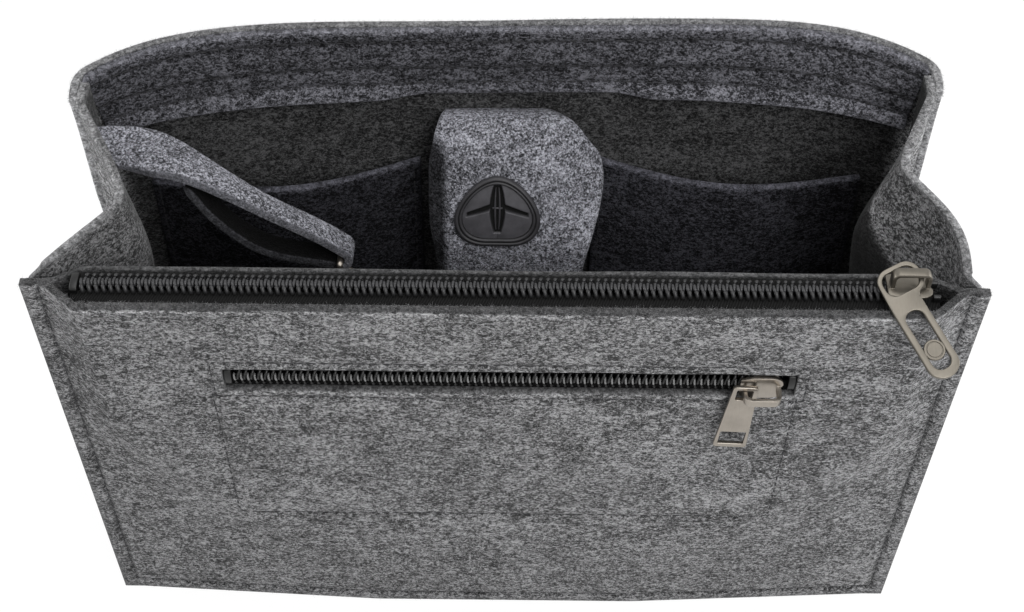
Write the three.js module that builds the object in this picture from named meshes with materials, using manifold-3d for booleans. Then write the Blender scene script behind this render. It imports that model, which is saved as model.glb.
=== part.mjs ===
// Felt purse organizer insert: a soft open-topped box with a zipped front compartment, a zipped
// pocket in its front panel, slip pockets, a cable pouch with a rubber port, and a key strap.
// Millimetres. +X is to the right, +Y to the rear and +Z up. The origin is the middle of the
// base panel's underside.

import * as THREE from 'three';
import { mergeVertices } from 'three/addons/utils/BufferGeometryUtils.js';
import Module from 'manifold-3d';

const wasm = await Module();
wasm.setup();
const { smoothstep, lerp, clamp, degToRad } = THREE.MathUtils;

// Felt body
const WIDTH = 260;
const DEPTH = 82;
const REAR_HEIGHT = 166;
const REAR_RISE = 4;
const FRONT_HEIGHT = REAR_HEIGHT - REAR_RISE;
const FELT = 2.5;
const FLANGE = 4;
const SEAM_GAP = 0.3;
const BASE_LIP = 10;
const ROOT_SKIVE = 0.4;
const FRONT_BOW_BASE = 4;
const FRONT_BOW_TOP = 6.5;
const FRONT_RIM_LEAN = 1.5;
const REAR_BOW = 22;
const REAR_FLARE = 3.5;
const REAR_WAIST = 2.5;
const REAR_SKEW = 4;
const REAR_CORNER_RADIUS = 10;
const REAR_LAP = 8;
const GUSSET_FOLD = 21;
const LEFT_CREASE_Y = -11;
const LEFT_RIM_EASE = 4;
const LEFT_BULGE = 1;
const RIGHT_CREASE_Y = 3;
const RIGHT_RIM_EASE = 9;
const RIGHT_BULGE = 6;
const SEAM_DROP = 3;
const BAND_HEIGHT = 23;

// Front compartment between the front panel and the inner wall
const MOUTH = 13.4;
const COMPARTMENT_BELLY = 17;
const MOUTH_TAPER = 9;

// Zip chain, the same on both zips
const CHAIN_WIDTH = 6.4;
const COIL_PITCH = 1.93;
const COIL_HEIGHT = 2.2;
const COIL_SPINE = 1.5;
const TOOTH_WIDTH = 0.62;
const TOOTH_REACH = 0.9;
const TAPE = 0.6;
const TAPE_EDGE = 1.5;
const ZIP_CLEARANCE = 0.3;

// Zip slider and its bridge
const SLIDER_LENGTH = 12;
const SLIDER_PLATE = 1;
const SLIDER_FLANGE = 0.9;
const POST_LENGTH = 2.6;
const POST_WIDTH = 2;
const BRIDGE_LENGTH = 10.6;
const BRIDGE_BAND = 1.1;
const BRIDGE_WIDTH = 2.6;
const BRIDGE_ROOM = 4.4;
const BRIDGE_CORNER = 1.2;

// Main zip
const MAIN_TAPE_DROP = 2;
const MAIN_TAPE_HEM = 9;
const ZIP_STOP = 2;
const MAIN_SLIDER_INSET = 6.4;
const MAIN_PULL_LEAN = 22;
const MAIN_PULL_TURN = 28;
const MAIN_PULL_CROSSING = 2.75;
const MAIN_PULL_THICKNESS = 1.3;
const MAIN_PULL_LENGTH = 33;
const MAIN_PULL_WIDTH = 8.2;
const MAIN_PULL_HEAD = 12.4;
const MAIN_PULL_HOLE_WIDTH = 9.8;
const MAIN_PULL_HOLE_HEIGHT = 6.6;
const MAIN_PULL_FOOT = 9.6;
const MAIN_PULL_SLOT_WIDTH = 5.4;
const MAIN_PULL_DISC = 2.9;

// Zipped pocket in the front panel
const POCKET_SLOT_X = 1.5;
const POCKET_SLOT_DROP = 33.7;
const POCKET_SLOT_Z = FRONT_HEIGHT - POCKET_SLOT_DROP;
const POCKET_SLOT_LENGTH = 161;
const POCKET_SLOT_HEIGHT = 10;
const POCKET_TAPE_WIDTH = 10;
const POCKET_SLIDER_INSET = 10;
const POCKET_SLIDER_X = POCKET_SLOT_X + POCKET_SLOT_LENGTH / 2 - POCKET_SLIDER_INSET;
const POCKET_PULL_LENGTH = 29;
const POCKET_PULL_TOP = 7;
const POCKET_PULL_FOOT = 9.8;
const POCKET_PULL_THICKNESS = 1.2;
const POCKET_PULL_TILT = 6;
const POCKET_PULL_BAR = 1.2;
const POCKET_BAG_MARGIN = 2.5;
const POCKET_BAG_RISE = 11.5;
const POCKET_BAG_HEIGHT = 82.8;
const POCKET_BAG_HALF = POCKET_SLOT_LENGTH / 2 + POCKET_BAG_MARGIN;
const POCKET_BAG_TOP = POCKET_SLOT_Z + POCKET_BAG_RISE;
const POCKET_BAG_BOTTOM = POCKET_BAG_TOP - POCKET_BAG_HEIGHT;
const POCKET_BAG_BELLY = 6;
const POCKET_BAG_EDGE = 8;
const POCKET_BAG_SHOULDER = 13;
const LINING = 0.8;

// Slip pockets on the rear panel
const SLIP_INNER_X = 28;
const SLIP_INSET = 17;
const SLIP_OUTER_X = WIDTH / 2 - SLIP_INSET;
const SLIP_BOTTOM = 12;
const SLIP_DROP = 47;
const SLIP_TOP = REAR_HEIGHT - SLIP_DROP;
const SLIP_DIP = 1.5;
const SLIP_MOUTH = 9.5;
const SLIP_SEAT = 0.45;

// Cable pouch with its flap and rubber port
const POUCH_X = 3;
const POUCH_HALF = 20;
const POUCH_DEPTH = 24;
const POUCH_DROP = 72;
const POUCH_TOP = REAR_HEIGHT - POUCH_DROP;
const FLAP_ROOT_DROP = 7;
const FLAP_ROOT_Z = REAR_HEIGHT - BAND_HEIGHT - FLAP_ROOT_DROP;
const FLAP_ROOT_HALF = 23;
const FLAP_HALF = 27;
const FLAP_END_HALF = 21.5;
const FLAP_OVERHANG = 28;
const FLAP_END_Z = POUCH_TOP - FLAP_OVERHANG;
const FLAP_CURL = 9;
const FLAP_REST_GAP = 0.4;
const FLAP_ROOT_GAP = 0.6;
const PORT_WIDTH = 27;
const PORT_HEIGHT = 23;
const PORT_FLANGE = 3.4;
const PORT_THICKNESS = 2;
const PORT_WALL = 1.4;
const PORT_MEMBRANE = 0.9;
const PORT_SLIT = 0.9;
const PORT_LIP_WIDTH = 3.7;
const PORT_BRANCH_ANGLE = 16;
const PORT_X = -3;
const PORT_Y = 27.5;
const PORT_DROP = 17;
const PORT_Z = FLAP_ROOT_Z - PORT_DROP;
const PORT_SLOPE = 27;

// Key strap with its ring and swivel hook
const STRAP_WIDTH = 19;
const STRAP_TIP_WIDTH = 10;
const STRAP_ROOT_Y = 17;
const STRAP_ROOT_DROP = 12;
const STRAP_ROOT_Z = REAR_HEIGHT - STRAP_ROOT_DROP;
const STRAP_ROOT_GAP = 0.7;
const STRAP_DROOP = 9;
const STRAP_WAY = [
  new THREE.Vector3(16.1, -1.5, -0.5),
  new THREE.Vector3(33.97, -5, -7),
  new THREE.Vector3(51.97, -8, -18),
  new THREE.Vector3(67.464, -11, -29),
];
const STRAP_TWIST = new THREE.Vector3(0.12, 0.9, -0.38);
const RING_WIRE = 1;
const RING_HALF = 7;
const RING_DROP = 8;
const HOOK_WIRE = 1.5;
const HOOK_EYE_RADIUS = 4.2;
const HOOK_EYE_WIRE = 1.1;
const HOOK_PIN_RADIUS = 1;
const HOOK_GATE_WIRE = 1.1;
const HOOK_BARREL_RADIUS = 3;
const HOOK_BARREL_LENGTH = 7;
const HOOK_LENGTH = 25;
const HOOK_HALF = 5.6;

// Finishes
const FINISHES = {
  felt: { color: 0x77787c, roughness: 0.96, metalness: 0 },
  lightFelt: { color: 0x9a9b9f, roughness: 0.96, metalness: 0 },
  lining: { color: 0x2a2a2c, roughness: 0.9, metalness: 0 },
  tape: { color: 0x141415, roughness: 0.85, metalness: 0 },
  coil: { color: 0x1b1b1d, roughness: 0.4, metalness: 0 },
  rubber: { color: 0x17171a, roughness: 0.5, metalness: 0 },
  nickel: { color: 0x8f877c, roughness: 0.32, metalness: 1 },
};

// Closes a grid of points into a sheet. pointAt(u, v) gives the surface that near and far are
// measured from, along the surface's own normal or along one fixed direction. The offsets are
// multiplied by taper(u, v).
function sheet(pointAt, columns, rows, near, far, along = null, taper = () => 1) {
  const across = stations(columns);
  const up = stations(rows);
  const grid = up.map((v) => across.map((u) => pointAt(u, v)));
  const points = [];
  for (const offset of [near, far]) {
    up.forEach((v, j) => across.forEach((u, i) => {
      const direction = along ?? gridNormal(grid, i, j);
      points.push(grid[j][i].clone().addScaledVector(direction, offset * taper(u, v)));
    }));
  }
  const last = across.length - 1;
  const top = up.length - 1;
  const at = (side, i, j) => (side * up.length + j) * across.length + i;
  const index = [];
  const quad = (a, b, c, d) => index.push(a, b, c, a, c, d);
  for (let j = 0; j < top; j += 1) {
    for (let i = 0; i < last; i += 1) {
      quad(at(1, i, j), at(1, i + 1, j), at(1, i + 1, j + 1), at(1, i, j + 1));
      quad(at(0, i, j), at(0, i, j + 1), at(0, i + 1, j + 1), at(0, i + 1, j));
    }
    quad(at(1, 0, j), at(1, 0, j + 1), at(0, 0, j + 1), at(0, 0, j));
    quad(at(0, last, j), at(0, last, j + 1), at(1, last, j + 1), at(1, last, j));
  }
  for (let i = 0; i < last; i += 1) {
    quad(at(0, i, 0), at(0, i + 1, 0), at(1, i + 1, 0), at(1, i, 0));
    quad(at(1, i, top), at(1, i + 1, top), at(0, i + 1, top), at(0, i, top));
  }
  const geometry = new THREE.BufferGeometry().setFromPoints(points);
  geometry.setIndex(signedVolume(points, index) < 0 ? index.reverse() : index);
  return geometry;
}

// The parameters of a grid: a count of equal steps, or the list itself
function stations(steps) {
  if (Array.isArray(steps)) {
    return steps;
  }
  return Array.from({ length: steps + 1 }, (_, k) => k / steps);
}

// The mitred normal of a grid point, so that a bent sheet keeps its thickness
function gridNormal(grid, i, j) {
  const row = grid[j];
  const below = grid[Math.max(j - 1, 0)][i];
  const above = grid[Math.min(j + 1, grid.length - 1)][i];
  const rise = above.clone().sub(below);
  const before = Math.max(i - 1, 0);
  const after = Math.min(i + 1, row.length - 1);
  const normals = [[before, before + 1], [after - 1, after]].map(([a, b]) => (
    row[b].clone().sub(row[a]).cross(rise).normalize()
  ));
  const sum = normals[0].clone().add(normals[1]);
  return sum.divideScalar(1 + normals[0].dot(normals[1]));
}

function signedVolume(points, index) {
  let volume = 0;
  for (let k = 0; k < index.length; k += 3) {
    const [a, b, c] = [points[index[k]], points[index[k + 1]], points[index[k + 2]]];
    volume += a.dot(b.clone().cross(c));
  }
  return volume;
}

// Joins and cuts of closed geometries
function toSolid(geometry) {
  const bare = geometry.clone();
  bare.deleteAttribute('normal');
  bare.deleteAttribute('uv');
  const merged = mergeVertices(bare, 1e-4);
  const mesh = new wasm.Mesh({
    numProp: 3,
    vertProperties: new Float32Array(merged.attributes.position.array),
    triVerts: new Uint32Array(merged.index.array),
  });
  return new wasm.Manifold(mesh);
}

function toGeometry(solid) {
  const mesh = solid.getMesh();
  const geometry = new THREE.BufferGeometry();
  geometry.setAttribute('position', new THREE.BufferAttribute(mesh.vertProperties, 3));
  geometry.setIndex(new THREE.BufferAttribute(mesh.triVerts, 1));
  return geometry;
}

function join(...geometries) {
  return toGeometry(geometries.map(toSolid).reduce((sum, solid) => sum.add(solid)));
}

function cut(body, ...tools) {
  return toGeometry(tools.map(toSolid).reduce((rest, tool) => rest.subtract(tool), toSolid(body)));
}

// Plain building shapes
function block(width, depth, height, x, y, z) {
  return new THREE.BoxGeometry(width, depth, height).translate(x, y, z);
}

function slab(shape, from, to, segments = 6) {
  const options = { depth: to - from, bevelEnabled: false, curveSegments: segments };
  return new THREE.ExtrudeGeometry(shape, options).translate(0, 0, from);
}

function tube(points, radius, steps, sides = 8) {
  const section = new THREE.Shape();
  section.absarc(0, 0, radius, 0, 2 * Math.PI);
  const extrudePath = new THREE.CatmullRomCurve3(points);
  const options = { steps, extrudePath, curveSegments: sides, bevelEnabled: false };
  return new THREE.ExtrudeGeometry(section, options);
}

function rod(start, end, radius, sides = 8) {
  const run = end.clone().sub(start);
  const geometry = new THREE.CylinderGeometry(radius, radius, run.length(), sides);
  geometry.translate(0, run.length() / 2, 0);
  const turn = new THREE.Quaternion().setFromUnitVectors(
    new THREE.Vector3(0, 1, 0),
    run.normalize(),
  );
  return geometry.applyQuaternion(turn).translate(start.x, start.y, start.z);
}

function ring(radius, wire, around = 18, sides = 8) {
  const profile = Array.from({ length: sides + 1 }, (_, k) => {
    const angle = (k % sides) * 2 * Math.PI / sides;
    return new THREE.Vector2(radius + wire * Math.cos(angle), wire * Math.sin(angle));
  });
  return new THREE.LatheGeometry(profile, around);
}

function roundedRectangle(width, height, radius, x = 0, y = 0) {
  const left = x - width / 2;
  const bottom = y - height / 2;
  const shape = new THREE.Shape();
  shape.absarc(left + radius, bottom + radius, radius, Math.PI, 1.5 * Math.PI);
  shape.absarc(left + width - radius, bottom + radius, radius, 1.5 * Math.PI, 2 * Math.PI);
  shape.absarc(left + width - radius, bottom + height - radius, radius, 0, 0.5 * Math.PI);
  shape.absarc(left + radius, bottom + height - radius, radius, 0.5 * Math.PI, Math.PI);
  return shape;
}

// One named piece of the organizer
function piece(name, geometry, finish) {
  const mesh = new THREE.Mesh(geometry, new THREE.MeshStandardMaterial(FINISHES[finish]));
  mesh.name = name;
  return mesh;
}

const REARWARD = new THREE.Vector3(0, 1, 0);
const HALF = WIDTH / 2;
const LAYER = FELT + SEAM_GAP;
const PINCH = HALF - FLANGE - LAYER;
const MOUTH_HALF = PINCH - MOUTH_TAPER;

// Heights of a wall's rows: its foot, the top of the base's lip, and shares of the rest
function rowsAbove(height, shares) {
  return [0, ...shares.map((share) => lerp(BASE_LIP, height, share))];
}

const RIM_Z = lerp(BASE_LIP, FRONT_HEIGHT, 6 / 7);

// Front walls: the panel bows forward and leans out at its rim, and the inner wall swells back
// from it to the zip's mouth
function frontFaceY(x, z) {
  const share = z / FRONT_HEIGHT;
  const lean = FRONT_RIM_LEAN * clamp((z - RIM_Z) / (FRONT_HEIGHT - RIM_Z), 0, 1);
  const bow = lerp(FRONT_BOW_BASE, FRONT_BOW_TOP, share) + lean;
  const flat = lerp(HALF / 3, MOUTH_HALF, smoothstep(share, 0, 0.7));
  return -DEPTH / 2 - bow * fade(x, flat);
}

// One within the flat middle of the front walls, falling to nothing at the side seams
function fade(x, flat) {
  return 1 - clamp((Math.abs(x) - flat) / (PINCH - flat), 0, 1);
}

function frontBackY(x, z) {
  return frontFaceY(x, z) + FELT;
}

function compartmentGap(x, z) {
  const share = Math.max(z - BASE_LIP, 0) / (FRONT_HEIGHT - BASE_LIP);
  const swell = COMPARTMENT_BELLY * smoothstep(share, 0, 0.35);
  const draw = (COMPARTMENT_BELLY - MOUTH) * smoothstep(share, 0.55, 0.95);
  return SEAM_GAP + (swell - draw) * fade(x, MOUTH_HALF);
}

function innerWallY(x, z) {
  return frontBackY(x, z) + compartmentGap(x, z);
}

// Columns that are close where the walls taper to the side seams
function wallColumns() {
  const middle = stations(4).map((share) => share * MOUTH_HALF);
  const half = [...middle, PINCH, HALF].map((x) => x / WIDTH);
  return [...half.slice(1).reverse().map((u) => 0.5 - u), ...half.map((u) => 0.5 + u)];
}

const WALL_ROWS = rowsAbove(FRONT_HEIGHT, stations(7)).map((z) => z / FRONT_HEIGHT);

function wallX(u) {
  return (u - 0.5) * WIDTH;
}

function makeFrontPanel() {
  const face = (u, v) => {
    const [x, z] = [wallX(u), v * FRONT_HEIGHT];
    return new THREE.Vector3(x, frontFaceY(x, z), z);
  };
  const panel = sheet(face, wallColumns(), WALL_ROWS, 0, FELT, REARWARD);
  const outline = roundedRectangle(POCKET_SLOT_LENGTH, POCKET_SLOT_HEIGHT, 1);
  const slot = slab(outline, -DEPTH, DEPTH, 2)
    .rotateX(Math.PI / 2)
    .translate(POCKET_SLOT_X, -DEPTH, POCKET_SLOT_Z);
  return cut(panel, slot);
}

function makeInnerWall() {
  const face = (u, v) => {
    const x = wallX(u);
    const z = v * (FRONT_HEIGHT - SEAM_DROP * (1 - fade(x, MOUTH_HALF)));
    return new THREE.Vector3(x, innerWallY(x, z), z);
  };
  return sheet(face, wallColumns(), WALL_ROWS, 0, FELT, REARWARD);
}

// Rear panel: bowed back towards its rim, with rounded corners and a short return on each side
const REAR_HALF = HALF - FLANGE + LAYER;

// The share of the rear panel's lean at a height: it stands upright beside the base's lip
function rearShare(z) {
  return Math.max(z - BASE_LIP, 0) / (REAR_HEIGHT - BASE_LIP);
}

// Half of the rear panel's run between its corners: widest at the rim, drawn in at half height
function rearSpan(z) {
  const share = rearShare(z);
  return REAR_HALF + REAR_FLARE * share - REAR_WAIST * Math.sin(Math.PI * share) - REAR_CORNER_RADIUS;
}

// The rear panel's bow is round low down and flatter along the rim
function rearFaceY(x, z) {
  const share = rearShare(z);
  const out = Math.abs(x / REAR_HALF);
  const fall = lerp(out ** 3, out ** 4.5, clamp((share - 0.8) / 0.2, 0, 1));
  const bow = REAR_BOW * share ** 1.3 * (1 - fall);
  return DEPTH / 2 + bow + REAR_SKEW * share * (x / REAR_HALF);
}

// The rear panel's corner at one side and height: its arc's centre, and the angle it starts at
function rearCorner(side, z) {
  const x = side * rearSpan(z);
  const step = 0.5;
  const slope = (rearFaceY(x + side * step, z) - rearFaceY(x, z)) / step;
  const start = Math.atan(-slope);
  return {
    x: x - side * REAR_CORNER_RADIUS * Math.sin(start),
    y: rearFaceY(x, z) - REAR_CORNER_RADIUS * Math.cos(start),
    start,
  };
}

const REAR_COLUMNS = 24;
const CORNER_STEPS = 4;

// The rear panel's outer face in plan, from the left return round to the right one
function rearPlan(z) {
  const span = rearSpan(z);
  const plan = Array.from({ length: REAR_COLUMNS + 1 }, (_, k) => {
    const x = lerp(-span, span, k / REAR_COLUMNS);
    return new THREE.Vector3(x, rearFaceY(x, z), z);
  });
  for (const side of [-1, 1]) {
    const corner = rearCorner(side, z);
    const turn = Array.from({ length: CORNER_STEPS }, (_, k) => {
      const angle = lerp(corner.start, Math.PI / 2, (k + 1) / CORNER_STEPS);
      const x = corner.x + side * REAR_CORNER_RADIUS * Math.sin(angle);
      return new THREE.Vector3(x, corner.y + REAR_CORNER_RADIUS * Math.cos(angle), z);
    });
    const end = turn[CORNER_STEPS - 1].clone();
    end.y -= REAR_LAP;
    turn.push(end);
    if (side < 0) {
      plan.unshift(...turn.reverse());
    } else {
      plan.push(...turn);
    }
  }
  return plan;
}

const REAR_ROWS = rowsAbove(REAR_HEIGHT, stations(5));

function makeRearPanel() {
  const plans = REAR_ROWS.map(rearPlan);
  const columns = plans[0].length - 1;
  const face = (u, v) => plans[Math.round(v * (plans.length - 1))][Math.round(u * columns)].clone();
  return sheet(face, columns, plans.length - 1, 0, FELT);
}

// A point on the rear panel's inner face, at one gap from it
function rearInnerY(x, z, gap) {
  const step = 0.5;
  const slope = (rearFaceY(x + step, z) - rearFaceY(x - step, z)) / (2 * step);
  return rearFaceY(x, z) - (FELT + gap) * Math.hypot(1, slope);
}

function makeRearBand() {
  const face = (u, v) => {
    const z = REAR_HEIGHT - BAND_HEIGHT * (1 - v);
    const x = lerp(-1, 1, u) * rearSpan(z);
    return new THREE.Vector3(x, rearFaceY(x, z), z);
  };
  return sheet(face, REAR_COLUMNS, 1, LAYER + SEAM_GAP, 2 * LAYER);
}

// Side gussets: a lip sewn behind the front walls, and a side that folds inward
const LIP_Y = -DEPTH / 2 + 2 * LAYER + FELT / 2;
const SIDE_X = HALF - FLANGE - FELT / 2;

function gussetFold(side, z) {
  const ease = side < 0 ? LEFT_RIM_EASE : RIGHT_RIM_EASE;
  const inward = GUSSET_FOLD * smoothstep(z, BASE_LIP, REAR_HEIGHT * 0.9);
  return inward - ease * smoothstep(z, REAR_HEIGHT * 0.8, REAR_HEIGHT);
}

// How far the front half of a gusset bows outward at its rim
function gussetBulge(side, reach, z) {
  const bulge = side < 0 ? LEFT_BULGE : RIGHT_BULGE;
  return bulge * Math.sin(Math.PI * reach) * smoothstep(z, REAR_HEIGHT / 2, REAR_HEIGHT);
}

function creaseY(side) {
  return side < 0 ? LEFT_CREASE_Y : RIGHT_CREASE_Y;
}

// The gusset's rear end, which laps inside the rear panel's return
function gussetRear(side, z) {
  const corner = rearCorner(side, z);
  return { x: Math.abs(corner.x) + REAR_CORNER_RADIUS - LAYER - FELT / 2, y: corner.y };
}

// The middle of the gusset's felt at a depth and height, between its front bend and its lap
function gussetX(side, y, z) {
  const rear = gussetRear(side, z);
  const front = LIP_Y;
  const back = rear.y - REAR_LAP;
  const crease = creaseY(side);
  const reach = y < crease ? (crease - y) / (crease - front) : (y - crease) / (back - crease);
  const round = 0.2;
  const drop = (Math.hypot(reach, round) - round) / (Math.hypot(1, round) - round);
  const straight = lerp(SIDE_X, rear.x, (y - front) / (back - front));
  const bulge = y < crease ? gussetBulge(side, reach, z) : 0;
  return side * (straight - gussetFold(side, z) * (1 - drop) + bulge);
}

const FOLD_STEPS = 5;
const GUSSET_ROWS = rowsAbove(REAR_HEIGHT, [0, 0.2, 0.4, 0.6, 0.8, 0.9, 1])
  .map((z) => z / REAR_HEIGHT);

function makeGusset(side) {
  const crease = creaseY(side);
  const face = (u, v) => {
    const k = Math.round(u * (2 * FOLD_STEPS + 2));
    const base = v * (FRONT_HEIGHT - 2 * SEAM_DROP);
    const rear = gussetRear(side, base);
    const back = rear.y - REAR_LAP;
    if (k === 0) {
      return new THREE.Vector3(side * HALF, LIP_Y, base);
    }
    if (k === 2 * FOLD_STEPS + 2) {
      return new THREE.Vector3(side * rear.x, rear.y, v * REAR_HEIGHT);
    }
    const part = (k - 1) / FOLD_STEPS;
    const y = part < 1 ? lerp(LIP_Y, crease, part) : lerp(crease, back, part - 1);
    const z = v * lerp(FRONT_HEIGHT, REAR_HEIGHT, (y - LIP_Y) / (back - LIP_Y));
    return new THREE.Vector3(gussetX(side, y, z), y, z);
  };
  return sheet(face, 2 * FOLD_STEPS + 2, GUSSET_ROWS, -FELT / 2, FELT / 2);
}

// Base panel: a tray whose lips stand up inside the walls
function makeBasePanel() {
  const corner = REAR_CORNER_RADIUS - 2 * LAYER;
  const steps = 12;
  const outline = (inset) => {
    const side = HALF - FLANGE - LAYER - inset;
    const rear = DEPTH / 2 - LAYER - inset;
    const shape = new THREE.Shape();
    for (let k = 0; k <= steps; k += 1) {
      const x = lerp(-side, side, k / steps);
      shape[k === 0 ? 'moveTo' : 'lineTo'](x, frontFaceY(x, 0) + 2 * LAYER + inset);
    }
    shape.absarc(side - corner, rear - corner, corner, 0, Math.PI / 2);
    shape.absarc(corner - side, rear - corner, corner, Math.PI / 2, Math.PI);
    return shape;
  };
  const solid = slab(outline(0), 0, BASE_LIP, 3);
  return cut(solid, slab(outline(FELT), FELT, BASE_LIP + FELT, 3));
}

// Slip pockets: sewn to the rear panel at the bottom and sides, with a top edge that dips
function makeSlipPocket(side) {
  const face = (u, v) => {
    const x = side * lerp(SLIP_INNER_X, SLIP_OUTER_X, u);
    const z = lerp(SLIP_BOTTOM, SLIP_TOP - SLIP_DIP * Math.sin(Math.PI * u), v);
    const stand = SLIP_MOUTH * Math.sin(Math.PI * u) * smoothstep(v, 0, 0.6);
    return new THREE.Vector3(x, rearInnerY(x, z, SLIP_SEAT) - stand, z);
  };
  return sheet(face, 8, 5, -FELT, 0, REARWARD);
}

// Cable pouch: a front and two sides on the rear panel, standing on the base panel
const POUCH_LIP_CLEAR = BASE_LIP + SEAM_GAP;
const POUCH_ROWS = [
  LAYER, POUCH_LIP_CLEAR, POUCH_LIP_CLEAR + SEAM_GAP, POUCH_TOP / 2, 0.75 * POUCH_TOP, POUCH_TOP,
];

function pouchZ(v) {
  return POUCH_ROWS[Math.round(v * (POUCH_ROWS.length - 1))];
}

function pouchFrontY(z) {
  return rearInnerY(POUCH_X, z, SEAM_GAP) - POUCH_DEPTH;
}

function makePouchFront() {
  const face = (u, v) => {
    const z = pouchZ(v);
    return new THREE.Vector3(POUCH_X + lerp(-POUCH_HALF, POUCH_HALF, u), pouchFrontY(z), z);
  };
  return sheet(face, 1, POUCH_ROWS.length - 1, -FELT, 0, REARWARD);
}

function makePouchSide(side) {
  const lipFront = DEPTH / 2 - 2 * LAYER;
  const x = POUCH_X + side * (POUCH_HALF - FELT);
  const face = (u, v) => {
    const z = pouchZ(v);
    const rear = z > POUCH_LIP_CLEAR ? rearInnerY(x, z, SEAM_GAP) : lipFront;
    return new THREE.Vector3(x, lerp(pouchFrontY(z) + SEAM_GAP, rear, u), z);
  };
  return sheet(face, 1, POUCH_ROWS.length - 1, 0, FELT, new THREE.Vector3(side, 0, 0));
}

// The flap's middle line in depth and height, from its seam under the band to its free end
function flapLine() {
  const slope = degToRad(PORT_SLOPE);
  const reach = PORT_HEIGHT / 2 + SEAM_GAP;
  const along = new THREE.Vector2(Math.sin(slope), Math.cos(slope)).multiplyScalar(reach);
  const port = new THREE.Vector2(PORT_Y, PORT_Z);
  const rootY = rearInnerY(POUCH_X, FLAP_ROOT_Z, FLAP_ROOT_GAP);
  const above = port.clone().add(along);
  const hangY = (z) => pouchFrontY(z) - FELT - FLAP_REST_GAP - FELT / 2;
  const crown = new THREE.SplineCurve([
    new THREE.Vector2(rootY, FLAP_ROOT_Z),
    new THREE.Vector2(lerp(rootY, above.x, 0.3), FLAP_ROOT_Z + FELT),
    new THREE.Vector2(lerp(rootY, above.x, 0.7), FLAP_ROOT_Z + FELT / 2),
    above,
  ]);
  const fallZ = POUCH_TOP + FELT;
  const fall = [fallZ, lerp(fallZ, FLAP_END_Z, 0.5), FLAP_END_Z];
  return [
    ...crown.getPoints(5),
    port,
    port.clone().sub(along),
    ...fall.map((z) => new THREE.Vector2(hangY(z), z)),
  ];
}

const FLAP_LINE = flapLine();

// Half of the flap's width at one point of its line: widest at the hood
function flapHalf(k) {
  const last = FLAP_LINE.length - 1;
  const widen = lerp(FLAP_ROOT_HALF, FLAP_HALF, smoothstep(k, 0, 5));
  return lerp(widen, FLAP_END_HALF, smoothstep(k, 6, last));
}

function makeFlap() {
  const last = FLAP_LINE.length - 1;
  const flatRight = PORT_X + PORT_WIDTH / 2;
  const flatLeft = PORT_X - PORT_WIDTH / 2;
  const widest = POUCH_X + FLAP_HALF - flatRight;
  const face = (u, v) => {
    const k = Math.round(v * last);
    const before = FLAP_LINE[Math.max(k - 1, 0)];
    const after = FLAP_LINE[Math.min(k + 1, last)];
    const inward = new THREE.Vector2(before.y - after.y, after.x - before.x).normalize();
    const x = POUCH_X + lerp(-1, 1, u) * flapHalf(k);
    const beyond = Math.max(x - flatRight, flatLeft - x, 0) / widest;
    const curl = FLAP_CURL * beyond ** 2 * (1 - smoothstep(k, 4, last - 2));
    const spot = FLAP_LINE[k].clone().addScaledVector(inward, curl);
    const wall = rearInnerY(x, spot.y, FLAP_ROOT_GAP);
    return new THREE.Vector3(x, Math.min(spot.x, wall), spot.y);
  };
  const skive = (u, v) => (v > 0 ? 1 : ROOT_SKIVE);
  const flap = sheet(face, 10, last, -FELT / 2, FELT / 2, null, skive);
  return cut(flap, placePort(slab(portOutline(PORT_FLANGE - SEAM_GAP), -3 * FELT, 3 * FELT)));
}

// Rubber port: a rounded triangle with a flat foot, with slits between raised lips
function portOutline(inset) {
  const half = PORT_WIDTH / 2 - inset;
  const top = PORT_HEIGHT / 2 - inset;
  const foot = -top;
  const shape = new THREE.Shape();
  shape.moveTo(-0.55 * half, foot);
  shape.lineTo(0.55 * half, foot);
  shape.bezierCurveTo(0.95 * half, foot, 1.1 * half, 0.55 * foot, 0.93 * half, 0);
  shape.bezierCurveTo(0.72 * half, 0.65 * top, 0.4 * half, top, 0, top);
  shape.bezierCurveTo(-0.4 * half, top, -0.72 * half, 0.65 * top, -0.93 * half, 0);
  shape.bezierCurveTo(-1.1 * half, 0.55 * foot, -0.95 * half, foot, -0.55 * half, foot);
  return shape;
}

function placePort(geometry) {
  const outward = FELT / 2 + SEAM_GAP;
  return geometry
    .translate(PORT_X, 0, outward)
    .rotateX(Math.PI / 2 - degToRad(PORT_SLOPE))
    .translate(0, PORT_Y, PORT_Z);
}

function makePort() {
  const seat = PORT_FLANGE + PORT_WALL;
  const back = -2 * FELT;
  const plate = slab(portOutline(0), 0, PORT_THICKNESS);
  const boss = slab(portOutline(PORT_FLANGE), back, PORT_THICKNESS / 2);
  const front = slab(portOutline(PORT_FLANGE), PORT_MEMBRANE, 2 * PORT_THICKNESS);
  const behind = slab(portOutline(seat), 2 * back, 0);
  const slitLength = PORT_HEIGHT - 2 * seat;
  const lips = new THREE.Shape();
  lips.moveTo(0, -slitLength / 2);
  lips.quadraticCurveTo(PORT_LIP_WIDTH, 0, 0, slitLength / 2);
  lips.quadraticCurveTo(-PORT_LIP_WIDTH, 0, 0, -slitLength / 2);
  const ridge = slab(lips, PORT_MEMBRANE / 2, PORT_THICKNESS);
  const through = 4 * PORT_THICKNESS;
  const slit = block(PORT_SLIT, slitLength - PORT_WALL, through, 0, 0, PORT_THICKNESS);
  const branches = [-1, 1].map((side) => {
    const run = PORT_WIDTH / 2 - seat;
    return block(run, PORT_SLIT, through, side * (PORT_WALL + run / 2), 0, PORT_THICKNESS)
      .rotateZ(-side * degToRad(PORT_BRANCH_ANGLE));
  });
  const body = cut(join(plate, boss), front, behind);
  return placePort(cut(join(body, ridge), slit, ...branches));
}

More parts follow.
